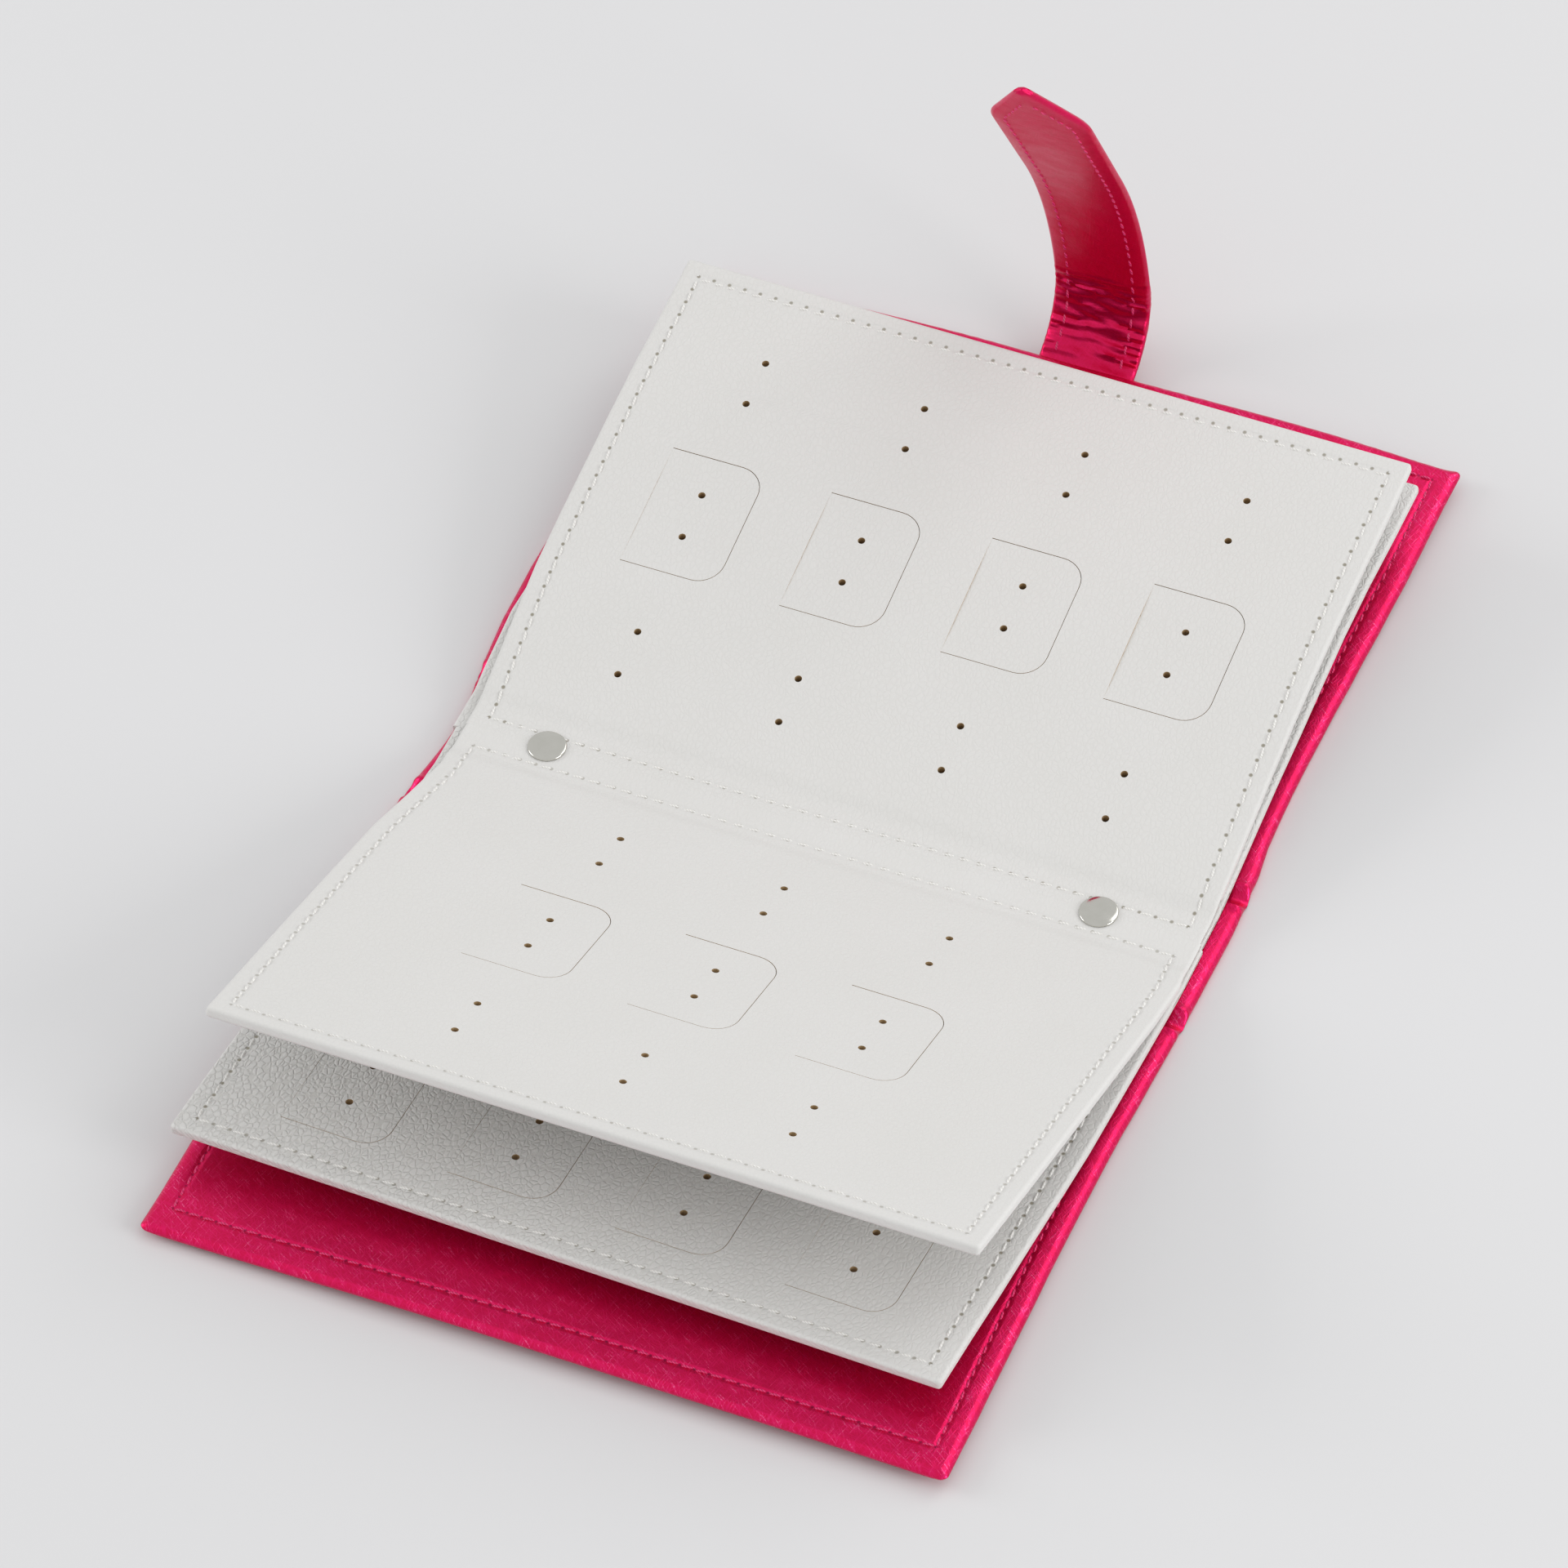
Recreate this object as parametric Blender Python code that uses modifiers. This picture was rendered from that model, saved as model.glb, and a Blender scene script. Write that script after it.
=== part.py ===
# Earring book lying open on a table, metres, +Z up.
# X runs along the spine, +Y runs across it to the back cover, which carries the strap.
# The origin is the middle of the spine's underside.
import math

import bmesh
import bpy
from mathutils import Matrix, Vector

for old in list(bpy.data.objects):
    bpy.data.objects.remove(old, do_unlink=True)

# case
cover_width = 0.200
panel_length = 0.148
spine_width = 0.0415
skin_thick = 0.0006
board_thick = 0.0010
lining_thick = 0.0005
gap = 0.0003
edge_wrap = 0.0012
crease_half = 0.0030

# sheets: a clamped strip in the gutter, a bending band and a stiff page on each side
page_half = 0.0967
page_end = 0.1365
band_end = 0.0035
page_start = 0.0038
leather_thick = 0.0005
core_thick = 0.0012
page_rise = 0.0006
strip_leather = 0.0005
strip_core = 0.0003
band_thick = 0.0012
sheet1_hinge = 0.0070
sheet2_hinge = 0.0120
hinge_offsets = {"sheet1": sheet1_hinge, "sheet2": sheet2_hinge}
tilt_degrees = {"upper1": 11.5, "lower1": 17.2, "upper2": 6.5, "lower2": 4.0}

# pierced pattern, measured from each page's hinge line
column_pitch = 0.0422
row_pitch = 0.0410
first_row = 0.0243
pair_pitch = 0.0126
hole_radius = 0.0008
hole_sides = 6
core_hole_sides = 4

# lifting flaps, cut through a page on three sides
flap_left = 0.0145
flap_right = 0.0110
flap_half = 0.0170
flap_corner = 0.0065
flap_slit = 0.0005
corner_steps = 3

# binding posts with screwed caps
post_place = 0.0713
cap_radius = 0.00475
cap_edge = 0.0004
cap_dome = 0.0011
dome_degrees = (0, 25, 50, 72)
cap_hidden_inset = 0.0006
barrel_radius = 0.0020
barrel_bore = 0.0014
shank_radius = 0.0011
shank_length = 0.0040
head_radius = 0.00475
head_thick = 0.0007
fit_clearance = 0.0003
round_sides = 16
post_sides = 12

# strap: turned out of the back cover's edge, up and back over the book
strap_half = 0.0130
strap_layer = 0.0006
strap_core = 0.0008
strap_start_turn = math.radians(20)
strap_curl = 0.025
strap_rise = 0.055
strap_reach = 0.068
strap_arcs = ((math.radians(83), strap_curl), (math.radians(13), strap_rise), (math.radians(12), strap_reach))
strap_root_length = 0.0050
strap_bend_place = 0.0520
strap_step = 0.0060
strap_tip_length = 0.0120
strap_tip_half = 0.0050
strap_relief = 0.0013
strap_hinge_gap = 0.0006
strap_tab_length = 0.0100
strap_core_inset = 0.0030
magnet_radius = 0.0050
magnet_from_tip = 0.0200
magnet_sides = 16

# derived heights and places
board_low = skin_thick + gap
board_high = board_low + board_thick
lining_low = board_high + gap
cover_top = lining_low + lining_thick
crease_top = board_low + lining_thick
cover_half = cover_width / 2
spine_half = spine_width / 2
cover_edge = spine_half + panel_length
page_thick = leather_thick + gap + core_thick + gap + leather_thick
page_low = page_rise - page_thick
core_high = page_rise - leather_thick - gap
strip_thick = strip_leather + gap + strip_core + gap + strip_leather
strip_low = {"sheet2": cover_top + gap}
strip_low["sheet1"] = strip_low["sheet2"] + strip_thick + gap
strip_high = {name: low + strip_thick for name, low in strip_low.items()}
post_places = (-post_place, post_place)
strap_thick = strap_layer + gap + strap_core + gap + strap_layer
strap_length = sum(length for turn, length in strap_arcs)
strap_mid_height = board_low + board_thick / 2
margin = cover_top

pink = (0.60, 0.010, 0.105)
deep_pink = (0.50, 0.006, 0.080)
off_white = (0.76, 0.76, 0.74)
raw_tan = (0.36, 0.25, 0.15)
grey_board = (0.34, 0.31, 0.26)
nickel = (0.80, 0.80, 0.79)
steel = (0.45, 0.46, 0.47)

cutters = bpy.data.collections.new("cutters")
bpy.context.scene.collection.children.link(cutters)
cutters.hide_render = True


def give_material(part, colour, roughness, metallic):
    material = bpy.data.materials.new(part.name + "_finish")
    material.use_nodes = True
    shader = material.node_tree.nodes["Principled BSDF"]
    shader.inputs["Base Color"].default_value = (*colour, 1)
    shader.inputs["Roughness"].default_value = roughness
    shader.inputs["Metallic"].default_value = metallic
    part.data.materials.clear()
    part.data.materials.append(material)


finishes = {
    "foil": (pink, 0.38, 0.55),
    "foil_inside": (deep_pink, 0.42, 0.50),
    "page": (off_white, 0.55, 0.0),
    "core": (raw_tan, 0.85, 0.0),
    "board": (grey_board, 0.90, 0.0),
    "cap": (nickel, 0.08, 1.0),
    "post": (steel, 0.30, 1.0),
}


def finish(part, kind):
    give_material(part, *finishes[kind])
    return part


def mesh_part(name, mesh):
    part = bpy.data.objects.new(name, mesh)
    bpy.context.scene.collection.objects.link(part)
    return part


def clean(shape):
    bmesh.ops.remove_doubles(shape, verts=shape.verts, dist=gap / 1000)
    bmesh.ops.dissolve_degenerate(shape, edges=shape.edges, dist=gap / 1000)
    bmesh.ops.recalc_face_normals(shape, faces=shape.faces)


def apply_modifiers(part):
    evaluated = part.evaluated_get(bpy.context.evaluated_depsgraph_get())
    made = bpy.data.meshes.new_from_object(evaluated)
    part.modifiers.clear()
    part.data = made


# The mesh between two heights of closed flat outlines; the inner outlines are holes.
def outline_mesh(name, outlines, low, high):
    curve = bpy.data.curves.new(name + "_outline", "CURVE")
    curve.dimensions = "2D"
    curve.fill_mode = "BOTH"
    curve.extrude = (high - low) / 2
    for outline in outlines:
        spline = curve.splines.new("POLY")
        spline.points.add(len(outline) - 1)
        for point, place in zip(spline.points, outline):
            point.co.x, point.co.y = place
        spline.use_cyclic_u = True
    drawn = bpy.data.objects.new(name + "_drawn", curve)
    bpy.context.scene.collection.objects.link(drawn)
    bpy.context.view_layer.update()
    mesh = bpy.data.meshes.new_from_object(drawn.evaluated_get(bpy.context.evaluated_depsgraph_get()))
    bpy.data.objects.remove(drawn, do_unlink=True)
    mesh.transform(Matrix.Translation((0, 0, (low + high) / 2)))
    mesh.name = name
    return mesh


def prism(name, outlines, low, high, along_x=False):
    mesh = outline_mesh(name, outlines, low, high)
    if along_x:
        mesh.transform(Matrix(((0, 0, 1), (1, 0, 0), (0, 1, 0))).to_4x4())
    shape = bmesh.new()
    shape.from_mesh(mesh)
    clean(shape)
    shape.to_mesh(mesh)
    shape.free()
    return mesh_part(name, mesh)


# A pierced plate with a rim that turns down along its edges. The plate, the rim's upper part and
# its lower part are drawn apart, and the faces between them are left out before they are joined.
def tray(name, outer, inner, holes, rim_low, plate_low, high):
    shape = bmesh.new()
    for outlines, low, top in (([inner] + holes, plate_low, high), ([outer, inner], plate_low, high),
                               ([outer, inner], rim_low, plate_low)):
        shape.from_mesh(outline_mesh(name, outlines, low, top))
    near = gap / 10
    x_low, x_high = min(x for x, y in inner), max(x for x, y in inner)
    y_low, y_high = min(y for x, y in inner), max(y for x, y in inner)
    between = []
    for face in shape.faces:
        x, y, z = face.calc_center_median()
        upright = max(v.co.z for v in face.verts) - min(v.co.z for v in face.verts) > near
        on_inner = min(abs(x - x_low), abs(x - x_high), abs(y - y_low), abs(y - y_high)) < near
        outside = x < x_low or x > x_high or y < y_low or y > y_high
        within = x_low - near < x < x_high + near and y_low - near < y < y_high + near
        if upright and on_inner and within and z > plate_low:
            between.append(face)
        elif not upright and outside and abs(z - plate_low) < near:
            between.append(face)
    bmesh.ops.delete(shape, geom=between, context="FACES")
    clean(shape)
    mesh = bpy.data.meshes.new(name)
    shape.to_mesh(mesh)
    shape.free()
    return mesh_part(name, mesh)


def box(name, low, high):
    shape = bmesh.new()
    bmesh.ops.create_cube(shape, size=1)
    size = [b - a for a, b in zip(low, high)]
    middle = [(a + b) / 2 for a, b in zip(low, high)]
    bmesh.ops.scale(shape, verts=shape.verts, vec=size)
    bmesh.ops.translate(shape, verts=shape.verts, vec=middle)
    mesh = bpy.data.meshes.new(name)
    shape.to_mesh(mesh)
    shape.free()
    return mesh_part(name, mesh)


def round_bar(name, radius, low, high, place, sides):
    shape = bmesh.new()
    bmesh.ops.create_cone(shape, cap_ends=True, segments=sides, radius1=radius, radius2=radius,
                          depth=high - low)
    bmesh.ops.translate(shape, verts=shape.verts, vec=(place[0], place[1], (low + high) / 2))
    mesh = bpy.data.meshes.new(name)
    shape.to_mesh(mesh)
    shape.free()
    return mesh_part(name, mesh)


def cut(part, tools):
    for tool in tools:
        bpy.context.scene.collection.objects.unlink(tool)
        cutters.objects.link(tool)
        tool.hide_render = True
        tool.display_type = "WIRE"
        step = part.modifiers.new("cut", "BOOLEAN")
        step.operation = "DIFFERENCE"
        step.solver = "EXACT"
        step.object = tool
    bpy.context.view_layer.update()
    apply_modifiers(part)
    for tool in tools:
        bpy.data.objects.remove(tool, do_unlink=True)
    shape = bmesh.new()
    shape.from_mesh(part.data)
    clean(shape)
    shape.to_mesh(part.data)
    shape.free()
    return part


# A turned part: the profile runs from the axis and back to it.
def turned(name, profile, sides, place):
    mesh = bpy.data.meshes.new(name)
    points = [(radius, 0, height) for radius, height in profile]
    mesh.from_pydata(points, [(n, n + 1) for n in range(len(points) - 1)], [])
    part = mesh_part(name, mesh)
    spin = part.modifiers.new("spin", "SCREW")
    spin.steps = sides
    spin.render_steps = sides
    spin.use_merge_vertices = True
    spin.merge_threshold = gap / 100
    spin.use_normal_calculate = True
    bpy.context.view_layer.update()
    apply_modifiers(part)
    shape = bmesh.new()
    shape.from_mesh(part.data)
    bmesh.ops.translate(shape, verts=shape.verts, vec=(place[0], place[1], 0))
    clean(shape)
    shape.to_mesh(part.data)
    shape.free()
    return part


# Puts a part's origin on its hinge line; the part was drawn in world places.
def set_origin(part, origin):
    part.data.transform(Matrix.Translation(-Vector(origin)))
    part.location = origin
    return part


def rectangle(x_low, x_high, y_low, y_high):
    return [(x_low, y_low), (x_high, y_low), (x_high, y_high), (x_low, y_high)]


def ring(place, radius, sides):
    corners = []
    for n in range(sides):
        angle = 2 * math.pi * (n + 0.5) / sides
        corners.append((place[0] + radius * math.cos(angle), place[1] + radius * math.sin(angle)))
    return corners


# A flap's outline: square at its uncut left side, rounded at the two right corners.
def flap_outline(middle, grow, side):
    x_low = middle[0] - flap_left - min(grow, gap)
    x_high = middle[0] + flap_right + grow
    half = flap_half + grow
    radius = flap_corner + grow
    outline = [(x_low, middle[1] - half)]
    for start, centre_y in ((-90, middle[1] - half + radius), (0, middle[1] + half - radius)):
        for n in range(corner_steps + 1):
            angle = math.radians(start + 90 * n / corner_steps)
            outline.append((x_high - radius + radius * math.cos(angle), centre_y + radius * math.sin(angle)))
    outline.append((x_low, middle[1] + half))
    return [(x, side * y) for x, y in outline]


# case: three panels, each an outer skin wrapped over a board's edges, the board and a lining
def panel_pieces(name, low, high, creases, origin, board_outlines, skin_notches, lining_holes):
    low_crease, high_crease = creases
    skin_from = low + (gap / 2 if low_crease else 0)
    skin_to = high - (gap / 2 if high_crease else 0)
    body_from = low + (crease_half if low_crease else 0)
    body_to = high - (crease_half if high_crease else 0)
    rim_from = 0 if low_crease else edge_wrap
    rim_to = 0 if high_crease else edge_wrap
    rim_top = lining_low - gap

    skin = box(name + "_skin", (-cover_half, skin_from, 0), (cover_half, skin_to, rim_top))
    inner = cover_half - edge_wrap
    pocket_from = low - margin if low_crease else low + rim_from
    pocket_to = high + margin if high_crease else high - rim_to
    tools = [box(name + "_pocket", (-inner, pocket_from, skin_thick), (inner, pocket_to, rim_top + margin))]
    wide = cover_half + margin
    if low_crease:
        tools.append(box(name + "_crease_low", (-wide, low - margin, skin_thick),
                         (wide, body_from, rim_top + margin)))
    if high_crease:
        tools.append(box(name + "_crease_high", (-wide, body_to, skin_thick),
                         (wide, high + margin, rim_top + margin)))
    cut(skin, tools + skin_notches)
    finish(set_origin(skin, origin), "foil")

    board = prism(name + "_board", board_outlines, board_low, board_high)
    finish(set_origin(board, origin), "board")

    profile_low = []
    profile_high = []
    if low_crease:
        wall = body_from - gap
        profile_low = [(wall - lining_thick, cover_top), (wall - lining_thick, crease_top),
                       (skin_from, crease_top), (skin_from, board_low), (wall, board_low), (wall, lining_low)]
    else:
        profile_low = [(low, cover_top), (low, lining_low)]
    if high_crease:
        wall = body_to + gap
        profile_high = [(wall, lining_low), (wall, board_low), (skin_to, board_low), (skin_to, crease_top),
                        (wall + lining_thick, crease_top), (wall + lining_thick, cover_top)]
    else:
        profile_high = [(high, lining_low), (high, cover_top)]
    lining = prism(name + "_lining", [profile_low + profile_high], -cover_half, cover_half, along_x=True)
    if lining_holes:
        cut(lining, lining_holes)
    finish(set_origin(lining, origin), "foil_inside")


back_crease = (0, spine_half, crease_top)
front_crease = (0, -spine_half, crease_top)

# strap tab slot through the back skin's edge and the back board
slot_half = strap_half + gap
slot_depth = strap_tab_length + gap
board_x = cover_half - edge_wrap - gap
board_far = cover_edge - edge_wrap - gap
slot_from = cover_edge - slot_depth
board_near = spine_half + crease_half
back_outline = [(-board_x, board_near), (board_x, board_near), (board_x, board_far),
                (slot_half, board_far), (slot_half, slot_from), (-slot_half, slot_from),
                (-slot_half, board_far), (-board_x, board_far)]
slot_tool = box("slot", (-slot_half, board_far - gap, board_low - gap / 2),
                (slot_half, cover_edge + margin, lining_low))
panel_pieces("back", spine_half, cover_edge, (True, False), back_crease, [back_outline], [slot_tool], [])

magnet_place = cover_edge - (strap_length - magnet_from_tip - strap_bend_place) + gap
magnet_ring = ring((0, -magnet_place), magnet_radius + fit_clearance, magnet_sides)
front_outline = rectangle(-board_x, board_x, -board_far, -board_near)
panel_pieces("front", -cover_edge, -spine_half, (False, True), front_crease,
             [front_outline, magnet_ring], [], [])
front_magnet = round_bar("front_magnet", magnet_radius, board_low, board_high,
                         (0, -magnet_place), magnet_sides)
finish(set_origin(front_magnet, front_crease), "post")

head_rings = [ring((x, 0), head_radius + fit_clearance, round_sides) for x in post_places]
post_tools = [round_bar("post_tool", barrel_radius + fit_clearance, 0, cover_top + margin, (x, 0), post_sides)
              for x in post_places]
spine_outline = rectangle(-board_x, board_x, crease_half - spine_half, spine_half - crease_half)
panel_pieces("spine", -spine_half, spine_half, (True, True), (0, 0, 0),
             [spine_outline] + head_rings, [], post_tools)

# gutter strips of the two sheets, clamped by the posts
for sheet, offset in hinge_offsets.items():
    edge = offset - gap / 2
    rings = [ring((x, 0), barrel_radius + fit_clearance, post_sides) for x in post_places]
    outline = rectangle(-page_half, page_half, -edge, edge)
    low = strip_low[sheet]
    layers = (("strip_back", strip_leather, "page"), ("strip_core", strip_core, "core"),
              ("strip_face", strip_leather, "page"))
    for layer, thick, kind in layers:
        strip = prism(sheet + "_" + layer, [outline] + rings, low, low + thick)
        finish(strip, kind)
        low += thick + gap

# binding posts: a barrel whose head is sunk in the spine board, and a domed cap screwed into it
cap_low = strip_high["sheet1"] + gap
for n, x in enumerate(post_places):
    head_top = board_low + head_thick
    barrel_top = strip_high["sheet1"]
    bore_low = cap_low - shank_length - gap
    barrel = turned("post_barrel_%d" % (n + 1), [
        (0, board_low), (head_radius, board_low), (head_radius, head_top), (barrel_radius, head_top),
        (barrel_radius, barrel_top), (barrel_bore, barrel_top), (barrel_bore, bore_low), (0, bore_low)],
        round_sides, (x, 0))
    finish(barrel, "post")
    edge_top = cap_low + cap_edge
    dome = [(cap_radius * math.cos(math.radians(a)), edge_top + cap_dome * math.sin(math.radians(a)))
            for a in dome_degrees]
    cap = turned("post_cap_%d" % (n + 1), [
        (0, cap_low - shank_length), (shank_radius, cap_low - shank_length), (shank_radius, cap_low),
        (cap_radius - cap_hidden_inset, cap_low)] + dome + [(0, edge_top + cap_dome)], round_sides, (x, 0))
    finish(cap, "cap")

# pages: for each one its sheet, side of the gutter, columns, rows and the row that has flaps
pages = {
    "upper1": ("sheet1", 1, 4, 3, 1),
    "lower1": ("sheet1", -1, 3, 3, 1),
    "upper2": ("sheet2", 1, 4, 3, None),
    "lower2": ("sheet2", -1, 4, 3, 2),
}


def pair_middles(columns, row):
    return [((n - (columns - 1) / 2) * column_pitch, first_row + row * row_pitch) for n in range(columns)]


def pair_rings(middle, side, radius, sides):
    return [ring((middle[0], side * (middle[1] + step * pair_pitch / 2)), radius, sides) for step in (-1, 1)]


for page, (sheet, side, columns, rows, flap_row) in pages.items():
    frame = (Matrix.Translation((0, side * hinge_offsets[sheet], strip_high[sheet]))
             @ Matrix.Rotation(math.radians(side * tilt_degrees[page]), 4, "X"))
    windows = []
    rings = []
    core_rings = []
    for row in range(rows):
        for middle in pair_middles(columns, row):
            if row == flap_row:
                windows.append(flap_outline(middle, flap_slit, side))
            else:
                rings += pair_rings(middle, side, hole_radius, hole_sides)
                core_rings += pair_rings(middle, side, hole_radius, core_hole_sides)

    near, far = sorted((side * page_start, side * page_end))
    outline = rectangle(-page_half, page_half, near, far)
    wrap = edge_wrap * side
    pocket_near, pocket_far = sorted((side * page_start + wrap, side * page_end - wrap))
    inner = rectangle(-page_half + edge_wrap, page_half - edge_wrap, pocket_near, pocket_far)
    face = tray(page + "_face", outline, inner, rings + windows, page_low + leather_thick + gap,
                page_rise - leather_thick, page_rise)
    core_near, core_far = pocket_near + gap, pocket_far - gap
    core_x = page_half - edge_wrap - gap
    core_outline = rectangle(-core_x, core_x, core_near, core_far)
    core = prism(page + "_core", [core_outline] + core_rings + windows, core_high - core_thick, core_high)
    back = prism(page + "_back", [outline] + rings + windows, page_low, page_low + leather_thick)
    band_near, band_far = sorted((side * gap / 2, side * band_end))
    band = box(page + "_band", (-page_half, band_near, -band_thick), (page_half, band_far, 0))
    for piece, kind in ((face, "page"), (core, "core"), (back, "page"), (band, "page")):
        finish(piece, kind)
        piece.matrix_world = frame

    if flap_row is None:
        continue
    for n, middle in enumerate(pair_middles(columns, flap_row)):
        flap = prism("%s_flap_%d" % (page, n + 1),
                     [flap_outline(middle, 0, side)] + pair_rings(middle, side, hole_radius, hole_sides),
                     page_low, page_rise)
        hinge = Vector((middle[0] - flap_left, side * middle[1], page_rise))
        flap.data.transform(Matrix.Translation(-hinge))
        finish(flap, "page")
        flap.matrix_world = frame @ Matrix.Translation(hinge)


# strap: the centre line is three arcs; a layer is the slab between two offsets from it
def strap_point(along, offset):
    y, z = cover_edge + strap_hinge_gap, strap_mid_height
    turn = strap_start_turn
    left = along
    for bend, length in strap_arcs:
        part = min(left, length)
        radius = length / bend
        swept = part / radius
        y += radius * (math.sin(turn + swept) - math.sin(turn))
        z += radius * (math.cos(turn) - math.cos(turn + swept))
        turn += swept
        left -= part
        if left <= 0:
            break
    return (y - offset * math.sin(turn), z + offset * math.cos(turn)), turn


def strap_places(start, end):
    steps = max(1, math.ceil((end - start) / strap_step))
    return [start + (end - start) * n / steps for n in range(steps + 1)]


def strap_layer_part(name, start, end, low, high, half):
    places = strap_places(start, end)
    profile = [strap_point(s, low)[0] for s in places] + [strap_point(s, high)[0] for s in reversed(places)]
    return prism(name, [profile], -half, half, along_x=True)


# the tip's two corners are clipped by turned boxes that stand on the strap's last stretch
def clip_tip(part, inset):
    middle = strap_length - strap_tip_length / 2
    (y, z), turn = strap_point(middle, 0)
    frame = Matrix.Translation((0, y, z)) @ Matrix.Rotation(turn, 4, "X")
    tools = []
    slope = math.atan2(strap_half - strap_tip_half, strap_tip_length)
    for side in (-1, 1):
        tool = box("tip_tool", (0, -strap_tip_length * 2, -strap_half),
                   (strap_half * 2, strap_tip_length * 2, strap_half))
        edge = (strap_half + strap_tip_half) / 2 - inset
        tool.data.transform(Matrix.Rotation(slope, 4, "Z"))
        tool.data.transform(Matrix.Translation((edge, 0, 0)))
        if side < 0:
            tool.data.transform(Matrix.Scale(-1, 4, (1, 0, 0)))
            tool.data.flip_normals()
        tool.data.transform(frame)
        tools.append(tool)
    return cut(part, tools)


half_thick = strap_thick / 2
core_half_thick = strap_core / 2
lower_hinge = (0, *strap_point(strap_root_length, 0)[0])
bend_hinge = (0, *strap_point(strap_bend_place, half_thick)[0])

tab = box("strap_tab", (-strap_half, cover_edge - strap_tab_length, board_low),
          (strap_half, cover_edge, board_high))
finish(set_origin(tab, back_crease), "foil")
root = strap_layer_part("strap_root", 0, strap_root_length - strap_hinge_gap / 2,
                        -half_thick, half_thick, strap_half)
finish(set_origin(root, back_crease), "foil")

lower_start = strap_root_length + strap_hinge_gap / 2
lower_end = strap_bend_place - gap / 2
lower_layers = (("strap_lower_outer", -half_thick, -gap / 2), ("strap_lower_inner", gap / 2, half_thick))
for name, low, high in lower_layers:
    layer = strap_layer_part(name, lower_start, lower_end, low, high, strap_half)
    finish(set_origin(layer, lower_hinge), "foil")

upper_layers = (
    ("strap_upper_outer", strap_relief, -half_thick, -core_half_thick - gap, 0, "foil"),
    ("strap_upper_core", strap_relief, -core_half_thick, core_half_thick, strap_core_inset, "board"),
    ("strap_upper_inner", gap / 2, core_half_thick + gap, half_thick, 0, "foil"),
)
for name, relief, low, high, inset, kind in upper_layers:
    layer = strap_layer_part(name, strap_bend_place + relief, strap_length - inset, low, high,
                             strap_half - inset)
    clip_tip(layer, inset)
    if inset:
        (y, z), turn = strap_point(strap_length - magnet_from_tip, 0)
        hole = round_bar("magnet_tool", magnet_radius + fit_clearance, -margin, margin, (0, 0), magnet_sides)
        hole.data.transform(Matrix.Translation((0, y, z)) @ Matrix.Rotation(turn, 4, "X"))
        cut(layer, [hole])
    finish(set_origin(layer, bend_hinge), kind)

(y, z), turn = strap_point(strap_length - magnet_from_tip, 0)
strap_magnet = round_bar("strap_magnet", magnet_radius, -core_half_thick, core_half_thick,
                         (0, 0), magnet_sides)
strap_magnet.data.transform(Matrix.Translation((0, y, z)) @ Matrix.Rotation(turn, 4, "X"))
finish(set_origin(strap_magnet, bend_hinge), "post")

bpy.data.collections.remove(cutters)
bpy.context.view_layer.update()
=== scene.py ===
import math

import bpy
from mathutils import Matrix, Vector, noise


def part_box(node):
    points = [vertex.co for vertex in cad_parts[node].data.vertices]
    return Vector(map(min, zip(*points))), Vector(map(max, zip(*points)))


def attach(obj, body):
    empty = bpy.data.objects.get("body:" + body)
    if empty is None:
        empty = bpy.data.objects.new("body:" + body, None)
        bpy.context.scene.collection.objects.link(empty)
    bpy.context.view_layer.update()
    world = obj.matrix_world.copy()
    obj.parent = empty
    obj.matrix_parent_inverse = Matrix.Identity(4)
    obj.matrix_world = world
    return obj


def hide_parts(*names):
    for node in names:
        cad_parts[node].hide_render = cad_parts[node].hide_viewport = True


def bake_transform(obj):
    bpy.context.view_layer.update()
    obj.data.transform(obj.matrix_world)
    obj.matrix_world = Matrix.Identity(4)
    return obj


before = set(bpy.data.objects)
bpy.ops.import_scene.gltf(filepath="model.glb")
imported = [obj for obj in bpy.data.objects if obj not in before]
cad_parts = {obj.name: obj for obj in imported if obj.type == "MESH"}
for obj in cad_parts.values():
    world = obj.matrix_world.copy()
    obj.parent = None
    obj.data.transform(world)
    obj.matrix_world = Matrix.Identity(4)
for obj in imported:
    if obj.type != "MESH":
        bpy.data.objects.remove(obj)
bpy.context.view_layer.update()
print("frame loaded")

mm = 0.001
tiny = 1e-6
mapScale = 10.0  # a piece's own map holds decimetres, so 1 mm is 0.01


# a piece's lengths, written in millimetres
def lengths(**values):
    return {name: value * mm for name, value in values.items()}


# camera and table, with the viewpoint solved from the photograph
cameraSet = {
    "lens": 231.9, "sensor": 36.0, "distance": 2.414, "across": -0.0084, "up": 0.0158,
    "yaw": -24.29, "pitch": 48.07, "roll": 1.90,
}
stageSet = {
    "tableSize": 9.0, "tableDrop": 0.00015, "tableColour": "dfdfe0", "tableShade": "dbdbdc",
    "skyColour": "e4e5e6", "skyStrength": 0.71,
    "softboxes": {"back": (1.4, 9.0, (0.75, 1.35, 1.50)), "right": (0.9, 11.0, (1.7, -0.2, 0.75)),
                  "left": (0.9, 9.0, (-1.7, -0.4, 0.8))},
}


def linear(hexColour):
    channels = []
    for n in (0, 2, 4):
        value = int(hexColour[n:n + 2], 16) / 255
        channels.append(value / 12.92 if value <= 0.04045 else ((value + 0.055) / 1.055) ** 2.4)
    return (*channels, 1)


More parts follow.
